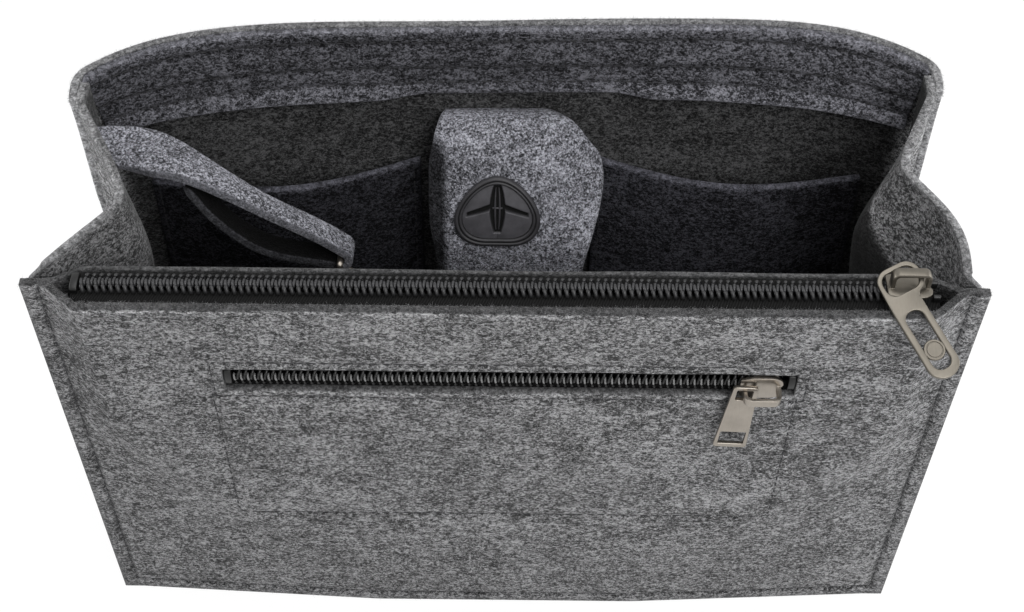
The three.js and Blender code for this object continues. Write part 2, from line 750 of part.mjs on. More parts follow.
// Zip chain: one string of coil teeth along a tape's edge, in the zip's own frame. X runs along
// the zip, Z stands out of its tape, and the two strings mesh half a pitch apart.
function makeCoil(side, from, to) {
  const outer = CHAIN_WIDTH / 2;
  const root = outer - COIL_SPINE;
  const count = Math.floor((to - from) / COIL_PITCH);
  const shift = side > 0 ? COIL_PITCH / 2 : 0;
  const shape = new THREE.Shape();
  shape.moveTo(from, side * outer);
  shape.lineTo(from, side * root);
  for (let k = 0; k < count; k += 1) {
    const x = from + shift + k * COIL_PITCH + COIL_PITCH / 4;
    shape.lineTo(x, side * root);
    shape.lineTo(x, -side * TOOTH_REACH);
    shape.lineTo(x + TOOTH_WIDTH, -side * TOOTH_REACH);
    shape.lineTo(x + TOOTH_WIDTH, side * root);
  }
  const end = from + shift + count * COIL_PITCH;
  shape.lineTo(end, side * root);
  shape.lineTo(end, side * outer);
  const floor = TAPE / 2 + ZIP_CLEARANCE;
  return slab(shape, floor, floor + COIL_HEIGHT);
}

// Zip slider in the zip's own frame: two plates on a post, side flanges and a bridge
const SLIDER_FLOOR = TAPE / 2 + ZIP_CLEARANCE + COIL_HEIGHT + ZIP_CLEARANCE;
const SLIDER_TOP = SLIDER_FLOOR + SLIDER_PLATE;
const SLIDER_HALF = CHAIN_WIDTH / 2 + ZIP_CLEARANCE + SLIDER_FLANGE;

function sliderOutline() {
  const end = SLIDER_LENGTH / 2;
  const shape = new THREE.Shape();
  shape.moveTo(-end, -0.8 * SLIDER_HALF);
  shape.lineTo(-0.4 * end, -SLIDER_HALF);
  shape.lineTo(0.4 * end, -SLIDER_HALF);
  shape.quadraticCurveTo(end, -SLIDER_HALF, end, -0.35 * SLIDER_HALF);
  shape.lineTo(0.85 * end, 0);
  shape.lineTo(end, 0.35 * SLIDER_HALF);
  shape.quadraticCurveTo(end, SLIDER_HALF, 0.4 * end, SLIDER_HALF);
  shape.lineTo(-0.4 * end, SLIDER_HALF);
  shape.lineTo(-end, 0.8 * SLIDER_HALF);
  return shape;
}

function makeSlider() {
  const under = -TAPE / 2 - ZIP_CLEARANCE;
  const over = TAPE / 2 + ZIP_CLEARANCE;
  const top = slab(sliderOutline(), SLIDER_FLOOR, SLIDER_TOP, 4);
  const bottom = slab(sliderOutline(), under - SLIDER_PLATE, under, 4);
  const flangeLength = 0.8 * SLIDER_LENGTH / 2;
  const flangeHeight = SLIDER_FLOOR - over + SLIDER_PLATE / 2;
  const flanges = [-1, 1].map((side) => block(
    flangeLength, SLIDER_FLANGE, flangeHeight,
    0, side * (SLIDER_HALF - SLIDER_FLANGE / 2), over + flangeHeight / 2,
  ));
  const post = new THREE.Shape();
  const middle = SLIDER_LENGTH / 2 - POST_LENGTH;
  post.moveTo(middle - POST_LENGTH / 2, 0);
  post.lineTo(middle, -POST_WIDTH / 2);
  post.lineTo(middle + POST_LENGTH / 2, 0);
  post.lineTo(middle, POST_WIDTH / 2);
  const pillar = slab(post, under - SLIDER_PLATE / 2, SLIDER_TOP - SLIDER_PLATE / 2);
  return join(top, bottom, ...flanges, pillar, makeBridge());
}

function makeBridge() {
  const sink = SLIDER_PLATE / 2;
  const height = BRIDGE_ROOM + BRIDGE_BAND + sink;
  const room = BRIDGE_ROOM + sink + BRIDGE_CORNER;
  const inner = BRIDGE_LENGTH - 2 * BRIDGE_BAND;
  const outer = BRIDGE_CORNER + BRIDGE_BAND;
  const arch = new THREE.Shape();
  arch.moveTo(-BRIDGE_LENGTH / 2, 0);
  arch.lineTo(BRIDGE_LENGTH / 2, 0);
  arch.absarc(BRIDGE_LENGTH / 2 - outer, height - outer, outer, 0, Math.PI / 2);
  arch.absarc(outer - BRIDGE_LENGTH / 2, height - outer, outer, Math.PI / 2, Math.PI);
  const window = roundedRectangle(inner, 2 * room, BRIDGE_CORNER, 0, height - BRIDGE_BAND - room);
  const solid = slab(arch, -BRIDGE_WIDTH / 2, BRIDGE_WIDTH / 2, 4);
  return cut(solid, slab(window, -BRIDGE_WIDTH, BRIDGE_WIDTH, 4))
    .rotateX(Math.PI / 2)
    .translate(0, 0, SLIDER_TOP - sink);
}

// Main pull: a ring head, a slotted body with a disc in the slot, and a round foot. It is made
// flat, with the ring's right wall, which runs under the bridge, at its own origin.
function makeMainPull() {
  const wall = (MAIN_PULL_HEAD - MAIN_PULL_HOLE_WIDTH) / 2;
  const headHeight = MAIN_PULL_HOLE_HEIGHT + 2 * wall;
  const footRadius = MAIN_PULL_FOOT / 2;
  const footY = headHeight / 2 - MAIN_PULL_LENGTH + footRadius;
  const from = -MAIN_PULL_THICKNESS / 2;
  const to = MAIN_PULL_THICKNESS / 2;
  const head = roundedRectangle(MAIN_PULL_HEAD, headHeight, headHeight / 2 - wall / 2);
  const body = roundedRectangle(MAIN_PULL_WIDTH, -footY, wall, 0, footY / 2);
  const foot = new THREE.Shape();
  foot.absarc(0, footY, footRadius, 0, 2 * Math.PI);
  const hole = roundedRectangle(
    MAIN_PULL_HOLE_WIDTH, MAIN_PULL_HOLE_HEIGHT, MAIN_PULL_HOLE_HEIGHT / 2 - wall / 2,
  );
  const slotTop = -headHeight / 2 - 3 * wall;
  const slotBottom = footY - footRadius + 2 * wall;
  const slot = roundedRectangle(
    MAIN_PULL_SLOT_WIDTH, slotTop - slotBottom, MAIN_PULL_SLOT_WIDTH / 2 - wall / 4,
    0, (slotTop + slotBottom) / 2,
  );
  const disc = new THREE.CylinderGeometry(MAIN_PULL_DISC, MAIN_PULL_DISC, 0.8 * MAIN_PULL_THICKNESS, 20)
    .rotateX(Math.PI / 2)
    .translate(0, footY + wall, 0);
  const plate = join(slab(head, from, to), slab(body, from, to), slab(foot, from, to, 16));
  const frame = cut(plate, slab(hole, 2 * from, 2 * to), slab(slot, 2 * from, 2 * to));
  return join(frame, disc).translate(-(MAIN_PULL_HOLE_WIDTH + wall) / 2, wall + 2 * ZIP_CLEARANCE, 0);
}

// Pocket pull: a plate that widens downward, hung by its upper window on the bridge's left leg
function makePocketPull() {
  const bar = POCKET_PULL_BAR;
  const legRoom = BRIDGE_WIDTH / 2 + ZIP_CLEARANCE;
  const top = legRoom + bar;
  const bottom = top - POCKET_PULL_LENGTH;
  const from = -POCKET_PULL_THICKNESS / 2;
  const to = POCKET_PULL_THICKNESS / 2;
  const plate = new THREE.Shape();
  plate.moveTo(-POCKET_PULL_TOP / 2, top - bar / 2);
  plate.lineTo(bar / 2 - POCKET_PULL_TOP / 2, top);
  plate.lineTo(POCKET_PULL_TOP / 2 - bar / 2, top);
  plate.lineTo(POCKET_PULL_TOP / 2, top - bar / 2);
  plate.lineTo(POCKET_PULL_FOOT / 2, bottom + bar / 2);
  plate.lineTo(POCKET_PULL_FOOT / 2 - bar / 2, bottom);
  plate.lineTo(bar / 2 - POCKET_PULL_FOOT / 2, bottom);
  plate.lineTo(-POCKET_PULL_FOOT / 2, bottom + bar / 2);
  const eyeWidth = POCKET_PULL_TOP - 2 * bar;
  const eye = roundedRectangle(eyeWidth, eyeWidth, bar / 2, 0, legRoom - eyeWidth / 2);
  const windowWidth = POCKET_PULL_FOOT - 2 * bar;
  const windowHeight = 0.8 * windowWidth;
  const opening = roundedRectangle(
    windowWidth, windowHeight, bar / 3, 0, bottom + 1.4 * bar + windowHeight / 2,
  );
  return cut(slab(plate, from, to), slab(eye, 2 * from, 2 * to, 2), slab(opening, 2 * from, 2 * to, 2));
}

// Main zip along the mouth of the front compartment
const MAIN_TAPE_Z = FRONT_HEIGHT - MAIN_TAPE_DROP;
const MAIN_TAPE_HALF = MOUTH_HALF + ZIP_STOP;
const MAIN_SLIDER_X = MOUTH_HALF - MAIN_SLIDER_INSET;
const MAIN_ZIP_Y = (frontBackY(0, MAIN_TAPE_Z) + innerWallY(0, MAIN_TAPE_Z)) / 2;
const TAPE_SEAT = SEAM_GAP + TAPE / 2;

function makeMainTape(side) {
  const wall = side < 0 ? frontBackY : innerWallY;
  const step = 0.5;
  const wallAt = (x, z) => {
    const slope = (wall(x + step, z) - wall(x - step, z)) / (2 * step);
    return wall(x, z) - side * (TAPE_SEAT + SEAM_GAP / 2) * Math.hypot(1, slope);
  };
  const hemZ = MAIN_TAPE_Z - MAIN_TAPE_HEM;
  const face = (u, v) => {
    const x = lerp(-MAIN_TAPE_HALF, MAIN_TAPE_HALF, v);
    const edge = [MAIN_ZIP_Y + side * TAPE_EDGE, MAIN_TAPE_Z];
    const bend = [wallAt(x, MAIN_TAPE_Z), MAIN_TAPE_Z];
    const hem = [wallAt(x, hemZ), hemZ];
    return new THREE.Vector3(x, ...[edge, bend, hem][Math.round(2 * u)]);
  };
  const taper = (MAIN_TAPE_HALF - MOUTH_HALF) / (2 * MAIN_TAPE_HALF);
  return sheet(face, 2, [0, taper, 0.5, 1 - taper, 1], -TAPE / 2, TAPE / 2);
}

// A moulded stop on the chain's line
function makeStop(width, offset) {
  const floor = TAPE / 2 + ZIP_CLEARANCE;
  const arch = new THREE.Shape();
  arch.moveTo(-width / 2, 0);
  arch.lineTo(width / 2, 0);
  arch.lineTo(width / 2, COIL_HEIGHT / 2);
  arch.quadraticCurveTo(width / 2, COIL_HEIGHT, 0, COIL_HEIGHT);
  arch.quadraticCurveTo(-width / 2, COIL_HEIGHT, -width / 2, COIL_HEIGHT / 2);
  return slab(arch, -ZIP_STOP / 2, ZIP_STOP / 2, 3)
    .rotateX(Math.PI / 2)
    .rotateZ(Math.PI / 2)
    .translate(0, offset, floor);
}

// The chain runs from the stop at the zip's left end into the slider, short of its post
function chainEnd(sliderX) {
  return sliderX + SLIDER_LENGTH / 2 - 2 * POST_LENGTH;
}

const mainZip = new THREE.Group();
mainZip.position.set(0, MAIN_ZIP_Y, MAIN_TAPE_Z);
const mainChainStart = -MAIN_TAPE_HALF + ZIP_STOP + ZIP_CLEARANCE;
const mainSlider = piece('main_slider', makeSlider(), 'nickel');
mainSlider.position.x = MAIN_SLIDER_X;
const mainPull = piece('main_pull', makeMainPull(), 'nickel');
const pullLean = degToRad(MAIN_PULL_LEAN);
const pullRise = MAIN_PULL_THICKNESS / 2 / Math.cos(pullLean) + SLIDER_HALF * Math.tan(pullLean);
mainPull.position.set(MAIN_SLIDER_X + MAIN_PULL_CROSSING, 0, SLIDER_TOP + ZIP_CLEARANCE + pullRise);
mainPull.rotation.set(pullLean, 0, degToRad(MAIN_PULL_TURN));
const leftStop = piece('main_bottom_stop', makeStop(CHAIN_WIDTH, 0), 'coil');
leftStop.position.x = -MAIN_TAPE_HALF + ZIP_STOP / 2;
mainZip.add(
  piece('main_coil_front', makeCoil(-1, mainChainStart, chainEnd(MAIN_SLIDER_X)), 'coil'),
  piece('main_coil_rear', makeCoil(1, mainChainStart, chainEnd(MAIN_SLIDER_X)), 'coil'),
  mainSlider,
  mainPull,
  leftStop,
);
for (const [name, side] of [['main_top_stop_front', -1], ['main_top_stop_rear', 1]]) {
  const stop = piece(name, makeStop(COIL_SPINE, side * (CHAIN_WIDTH - COIL_SPINE) / 2), 'coil');
  stop.position.x = MAIN_SLIDER_X + SLIDER_LENGTH / 2 + ZIP_CLEARANCE + ZIP_STOP / 2;
  mainZip.add(stop);
}

// Zipped pocket: the zip lies in the front panel's slot, and a lining bag hangs behind it
const POCKET_TAPE_Y = frontBackY(POCKET_SLOT_X, POCKET_SLOT_Z) + TAPE_SEAT;
const POCKET_TAPE_HALF = (POCKET_SLOT_LENGTH + POCKET_SLOT_HEIGHT) / 2;

function makePocketTape(side) {
  const face = (u, v) => {
    const x = POCKET_SLOT_X + lerp(-POCKET_TAPE_HALF, POCKET_TAPE_HALF, u);
    const z = POCKET_SLOT_Z + side * (TAPE_EDGE + POCKET_TAPE_WIDTH * v);
    return new THREE.Vector3(x, frontBackY(x, z) + SEAM_GAP, z);
  };
  return sheet(face, 1, 1, 0, TAPE, REARWARD);
}

function makePocketBag() {
  const height = POCKET_BAG_HEIGHT;
  const heights = [
    0, POCKET_BAG_EDGE / 2, POCKET_BAG_EDGE, height / 2,
    height - POCKET_BAG_SHOULDER, height - POCKET_BAG_SHOULDER / 2, height,
  ].map((z) => z / height);
  const sides = [0, POCKET_BAG_EDGE / 2, POCKET_BAG_EDGE, POCKET_BAG_HALF]
    .map((inset) => inset / (2 * POCKET_BAG_HALF));
  const columns = [...sides, ...sides.slice(0, -1).reverse().map((u) => 1 - u)];
  const face = (u, v) => {
    const x = lerp(-POCKET_BAG_HALF, POCKET_BAG_HALF, u);
    const z = lerp(POCKET_BAG_BOTTOM, POCKET_BAG_TOP, v);
    const inset = Math.min(POCKET_BAG_HALF - Math.abs(x), z - POCKET_BAG_BOTTOM);
    const swell = smoothstep(inset, 0, POCKET_BAG_EDGE);
    const shoulder = smoothstep(POCKET_BAG_TOP - z, 0, POCKET_BAG_SHOULDER);
    const belly = POCKET_BAG_BELLY * swell * shoulder;
    return new THREE.Vector3(x, frontBackY(x, z) + 2 * SEAM_GAP + TAPE + belly, z);
  };
  return sheet(face, columns, heights, 0, LINING, REARWARD);
}

const pocketZip = new THREE.Group();
pocketZip.position.set(0, POCKET_TAPE_Y, POCKET_SLOT_Z);
pocketZip.rotation.x = Math.PI / 2;
const pocketLeft = POCKET_SLOT_X - POCKET_SLOT_LENGTH / 2 + ZIP_CLEARANCE;
const pocketRight = POCKET_SLOT_X + POCKET_SLOT_LENGTH / 2 - ZIP_CLEARANCE;
const pocketChainStart = pocketLeft + ZIP_STOP + ZIP_CLEARANCE;
const pocketSlider = piece('pocket_slider', makeSlider(), 'nickel');
pocketSlider.position.x = POCKET_SLIDER_X;
const pocketPull = piece('pocket_pull', makePocketPull(), 'nickel');
const legX = (BRIDGE_LENGTH - BRIDGE_BAND) / 2;
const pocketPullZ = SLIDER_TOP + POCKET_PULL_THICKNESS + ZIP_CLEARANCE;
pocketPull.position.set(POCKET_SLIDER_X - legX, 0, pocketPullZ);
pocketPull.rotation.z = -degToRad(POCKET_PULL_TILT);
const pocketLeftStop = piece('pocket_bottom_stop', makeStop(CHAIN_WIDTH, 0), 'coil');
pocketLeftStop.position.x = pocketLeft + ZIP_STOP / 2;
const pocketRightStop = piece('pocket_top_stop', makeStop(CHAIN_WIDTH, 0), 'coil');
pocketRightStop.position.x = pocketRight - ZIP_STOP / 2;
pocketZip.add(
  piece('pocket_coil_upper', makeCoil(1, pocketChainStart, chainEnd(POCKET_SLIDER_X)), 'coil'),
  piece('pocket_coil_lower', makeCoil(-1, pocketChainStart, chainEnd(POCKET_SLIDER_X)), 'coil'),
  pocketSlider,
  pocketPull,
  pocketLeftStop,
  pocketRightStop,
);

// Key strap: felt sewn to the left gusset near its rim, folded round the bar of a wire ring
const STRAP_ROOT = strapRoot();

function strapRoot() {
  const step = 0.5;
  const before = gussetX(-1, STRAP_ROOT_Y - step, STRAP_ROOT_Z);
  const after = gussetX(-1, STRAP_ROOT_Y + step, STRAP_ROOT_Z);
  const along = new THREE.Vector3(after - before, 2 * step, 0).normalize();
  const off = FELT / 2 + STRAP_ROOT_GAP;
  const middle = gussetX(-1, STRAP_ROOT_Y, STRAP_ROOT_Z);
  return { at: new THREE.Vector3(middle + off / along.y, STRAP_ROOT_Y, STRAP_ROOT_Z), along };
}

const STRAP_CURVE = new THREE.CatmullRomCurve3([
  STRAP_ROOT.at,
  ...STRAP_WAY.map((step) => STRAP_ROOT.at.clone().add(step)),
]);

// The strap's frame at a share of its length: its way forward, its width's way and its upper side
function strapFrame(t) {
  const forward = STRAP_CURVE.getTangent(t);
  const level = STRAP_ROOT.along.clone().lerp(STRAP_TWIST, smoothstep(t, 0, 1));
  const square = -level.dot(forward) * smoothstep(t, 0, 0.3);
  const across = level.addScaledVector(forward, square).normalize();
  return { at: STRAP_CURVE.getPoint(t), forward, across, up: forward.clone().cross(across) };
}

const FOLD_RADIUS = RING_WIRE + SEAM_GAP + FELT / 2;
const TIP = strapFrame(1);
const RING_BAR = TIP.at.clone().addScaledVector(TIP.up, -FOLD_RADIUS);

function strapHalf(t) {
  return lerp(STRAP_WIDTH, STRAP_TIP_WIDTH, smoothstep(t, 0.55, 1)) / 2;
}

// A point of the fold round the ring's bar, at an angle from the strap's upper side
function foldPoint(angle) {
  return RING_BAR.clone()
    .addScaledVector(TIP.up, FOLD_RADIUS * Math.cos(angle))
    .addScaledVector(TIP.forward, FOLD_RADIUS * Math.sin(angle));
}

function makeStrapUpper() {
  const run = 9;
  const turn = 5;
  const turned = degToRad(145);
  const face = (u, v) => {
    const k = Math.round(u * (run + turn));
    const t = Math.min(k / run, 1);
    const { at, across } = strapFrame(t);
    const spot = k > run ? foldPoint(turned * (k - run) / turn) : at;
    return spot.addScaledVector(across, lerp(-1, 1, v) * strapHalf(t));
  };
  const skive = (u) => (u > 0 ? 1 : ROOT_SKIVE);
  return sheet(face, run + turn, 2, -FELT / 2, FELT / 2, null, skive);
}

function makeStrapUnder() {
  const from = 0.22;
  const line = new THREE.CatmullRomCurve3([
    underPoint(from, LAYER),
    underPoint(0.45, LAYER + 0.6 * STRAP_DROOP),
    underPoint(0.75, LAYER + STRAP_DROOP),
    foldPoint(Math.PI),
  ]);
  const face = (u, v) => {
    const t = lerp(from, 1, u);
    const { across } = strapFrame(t);
    return line.getPoint(u).addScaledVector(across, lerp(-1, 1, v) * (strapHalf(t) - SEAM_GAP));
  };
  return sheet(face, 8, 2, -FELT / 2, FELT / 2);
}

function underPoint(t, drop) {
  const { at, up } = strapFrame(t);
  return at.addScaledVector(up, -drop);
}

// Wire ring: a straight bar in the strap's fold and a half ellipse below it
const DOWN = new THREE.Vector3(0, 0, -1);
const RING_WAY = DOWN.clone().addScaledVector(TIP.across, -DOWN.dot(TIP.across)).normalize();
const RING_LOW = RING_BAR.clone().addScaledVector(RING_WAY, RING_DROP);

function makeRing() {
  const steps = 10;
  const bow = Array.from({ length: steps + 1 }, (_, k) => {
    const angle = Math.PI * k / steps;
    return RING_BAR.clone()
      .addScaledVector(TIP.across, RING_HALF * Math.cos(angle))
      .addScaledVector(RING_WAY, RING_DROP * Math.sin(angle));
  });
  const overlap = RING_WIRE / 2;
  const ends = [-1, 1].map((side) => (
    RING_BAR.clone().addScaledVector(TIP.across, side * (RING_HALF + overlap))
  ));
  return join(tube(bow, RING_WIRE, 20, 4), rod(ends[0], ends[1], RING_WIRE));
}

// Swivel hook, in its own frame: Z is the swivel's axis, and the eye hangs on the ring at the top
const HOOK_HANG = HOOK_EYE_RADIUS - HOOK_EYE_WIRE - RING_WIRE - SEAM_GAP;
const EYE_BOTTOM = -HOOK_EYE_RADIUS - HOOK_EYE_WIRE;
const BARREL_TOP = EYE_BOTTOM - SEAM_GAP;
const BARREL_BOTTOM = BARREL_TOP - HOOK_BARREL_LENGTH;

function makeHookEye() {
  const pin = rod(
    new THREE.Vector3(0, 0, EYE_BOTTOM + HOOK_EYE_WIRE),
    new THREE.Vector3(0, 0, BARREL_TOP - HOOK_BARREL_LENGTH / 2),
    HOOK_PIN_RADIUS,
  );
  return join(ring(HOOK_EYE_RADIUS, HOOK_EYE_WIRE), pin);
}

function makeHookBody() {
  const bore = HOOK_PIN_RADIUS + SEAM_GAP;
  const floor = BARREL_TOP - HOOK_BARREL_LENGTH / 2 - SEAM_GAP;
  const barrel = new THREE.LatheGeometry([
    new THREE.Vector2(0, BARREL_BOTTOM),
    new THREE.Vector2(HOOK_BARREL_RADIUS, BARREL_BOTTOM),
    new THREE.Vector2(HOOK_BARREL_RADIUS, BARREL_TOP - HOOK_PIN_RADIUS),
    new THREE.Vector2(HOOK_BARREL_RADIUS - HOOK_PIN_RADIUS / 2, BARREL_TOP),
    new THREE.Vector2(bore, BARREL_TOP),
    new THREE.Vector2(bore, floor),
    new THREE.Vector2(0, floor),
  ], 16).rotateX(Math.PI / 2);
  const low = BARREL_BOTTOM - HOOK_LENGTH;
  const line = [
    [0, BARREL_BOTTOM + HOOK_WIRE],
    [-0.55 * HOOK_HALF, BARREL_BOTTOM - HOOK_WIRE],
    [-HOOK_HALF, lerp(BARREL_BOTTOM, low, 0.35)],
    [-HOOK_HALF, lerp(BARREL_BOTTOM, low, 0.7)],
    [0, low + HOOK_WIRE],
    [HOOK_HALF, lerp(BARREL_BOTTOM, low, 0.75)],
    [HOOK_HALF, GATE_FOOT],
  ];
  const bend = tube(line.map(([x, z]) => new THREE.Vector3(x, 0, z)), HOOK_WIRE, 22, 4);
  return join(barrel, bend);
}

// The gate closes the hook's throat from a pivot beside the barrel to the hook's tip
const GATE_FOOT = lerp(BARREL_BOTTOM, BARREL_BOTTOM - HOOK_LENGTH, 0.55);
const GATE_PIVOT = new THREE.Vector3(HOOK_BARREL_RADIUS, 0, BARREL_BOTTOM - HOOK_GATE_WIRE - SEAM_GAP);

function makeHookGate() {
  const foot = new THREE.Vector3(HOOK_HALF, 0, GATE_FOOT + SEAM_GAP);
  return rod(GATE_PIVOT, foot, HOOK_GATE_WIRE);
}

const hook = new THREE.Group();
hook.position.copy(RING_LOW).addScaledVector(DOWN, HOOK_HANG);
hook.rotation.z = Math.atan2(-TIP.across.x, TIP.across.y);
hook.add(
  piece('hook_eye', makeHookEye(), 'nickel'),
  piece('hook_body', makeHookBody(), 'nickel'),
  piece('hook_gate', makeHookGate(), 'nickel'),
);

const organizer = new THREE.Group();
organizer.add(
  piece('front_panel', makeFrontPanel(), 'felt'),
  piece('front_inner_wall', makeInnerWall(), 'felt'),
  piece('rear_panel', makeRearPanel(), 'felt'),
  piece('rear_top_band', makeRearBand(), 'felt'),
  piece('left_gusset', makeGusset(-1), 'felt'),
  piece('right_gusset', makeGusset(1), 'felt'),
  piece('base_panel', makeBasePanel(), 'felt'),
  piece('left_slip_pocket', makeSlipPocket(-1), 'felt'),
  piece('right_slip_pocket', makeSlipPocket(1), 'felt'),
  piece('pouch_front', makePouchFront(), 'lightFelt'),
  piece('pouch_left_side', makePouchSide(-1), 'felt'),
  piece('pouch_right_side', makePouchSide(1), 'felt'),
  piece('pouch_flap', makeFlap(), 'lightFelt'),
  piece('cable_port', makePort(), 'rubber'),
  piece('main_tape_front', makeMainTape(-1), 'tape'),
  piece('main_tape_rear', makeMainTape(1), 'tape'),
  mainZip,
  piece('pocket_tape_upper', makePocketTape(1), 'tape'),
  piece('pocket_tape_lower', makePocketTape(-1), 'tape'),
  piece('zip_pocket_bag', makePocketBag(), 'lining'),
  pocketZip,
  piece('key_strap_upper', makeStrapUpper(), 'lightFelt'),
  piece('key_strap_under', makeStrapUnder(), 'lightFelt'),
  piece('d_ring', makeRing(), 'nickel'),
  hook,
);

export default organizer;
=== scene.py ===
"""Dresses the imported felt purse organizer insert: felt walls, zips, cable pouch and key strap.

Sizes are in millimetres until a mesh is made. Blender works in metres, in the frame of the CAD model:
+X to the right, +Y to the rear, +Z up, the origin in the middle of the base panel's underside.
"""

import logging
import math
from contextlib import contextmanager
from dataclasses import dataclass
from enum import Enum
from typing import Any, Callable, Iterator, Sequence

import bmesh
import bpy
import numpy as np
from mathutils import Matrix, Vector


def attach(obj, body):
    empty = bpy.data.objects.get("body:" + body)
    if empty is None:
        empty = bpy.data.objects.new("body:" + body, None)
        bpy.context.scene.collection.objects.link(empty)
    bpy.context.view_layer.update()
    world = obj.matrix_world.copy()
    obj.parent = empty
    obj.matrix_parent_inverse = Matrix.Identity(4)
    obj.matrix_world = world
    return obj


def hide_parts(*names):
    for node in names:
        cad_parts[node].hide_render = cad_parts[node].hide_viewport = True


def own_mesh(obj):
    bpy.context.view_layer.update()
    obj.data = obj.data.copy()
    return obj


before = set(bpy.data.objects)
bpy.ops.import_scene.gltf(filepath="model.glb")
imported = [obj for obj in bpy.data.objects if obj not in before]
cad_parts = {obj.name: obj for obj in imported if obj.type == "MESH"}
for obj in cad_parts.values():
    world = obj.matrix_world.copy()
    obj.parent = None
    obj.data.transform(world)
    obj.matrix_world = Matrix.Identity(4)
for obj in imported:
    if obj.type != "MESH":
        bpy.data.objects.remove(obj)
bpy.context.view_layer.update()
MM = 0.001
LOG = logging.getLogger("organizer")

Array = np.ndarray
Colour = tuple[float, float, float]
Shape = tuple[Array, list]
Piece = bpy.types.Object


class Body(Enum):
    """The moving bodies of the organizer."""

    ORGANIZER = "organizer"
    MAIN_SLIDER = "main_slider"
    MAIN_PULL = "main_pull"
    POCKET_SLIDER = "pocket_slider"
    POCKET_PULL = "pocket_pull"
    FLAP = "pouch_flap"
    STRAP = "key_strap"
    HOOK_EYE = "hook_eye"
    HOOK_BODY = "hook_body"
    HOOK_GATE = "hook_gate"


class Slot(Enum):
    """The material slots."""

    FELT = "felt"
    LIGHT_FELT = "light_felt"
    LINING = "lining"
    TAPE = "zip_tape"
    COIL = "zip_coil"
    RUBBER = "port_rubber"
    NICKEL = "nickel"


class Held(Enum):
    """How a sheet of cloth is held."""

    STRETCHED = "stretched"
    HUNG = "hung"
    FOLDED = "folded"


class Signal:
    """A shader socket that takes part in Python expressions."""

    def __init__(self, graph: "Graph", socket: bpy.types.NodeSocket) -> None:
        """Keeps the socket and the graph that its results go to."""
        self.graph, self.socket = graph, socket

    def __add__(self, other: "Signal | float") -> "Signal":
        """Adds a value."""
        return self.graph.math("ADD", self, other)

    def __sub__(self, other: "Signal | float") -> "Signal":
        """Takes a value away."""
        return self.graph.math("SUBTRACT", self, other)

    def __rsub__(self, other: "Signal | float") -> "Signal":
        """Takes this value away from another."""
        return self.graph.math("SUBTRACT", other, self)

    def __mul__(self, other: "Signal | float") -> "Signal":
        """Multiplies by a value."""
        return self.graph.math("MULTIPLY", self, other)

    __radd__, __rmul__ = __add__, __mul__


class Canvas:
    """A node tree that nodes are added to by type, settings and sockets."""

    tree: bpy.types.NodeTree

    def node(self, kind: str, settings: dict | None = None, sockets: dict | None = None) -> bpy.types.Node:
        """Adds one node.

        Args:
            kind: The node's type.
            settings: Properties of the node, set first.
            sockets: Values or links of its inputs; a node stands for its first output.

        Returns:
            The node.
        """
        node = self.tree.nodes.new(kind)
        for key, value in (settings or {}).items():
            setattr(node, key, value)
        for key, value in (sockets or {}).items():
            if isinstance(value, Signal):
                value = value.socket
            elif isinstance(value, bpy.types.Node):
                value = value.outputs[0]
            if isinstance(value, bpy.types.NodeSocket):
                self.tree.links.new(value, node.inputs[key])
            else:
                node.inputs[key].default_value = value
        return node


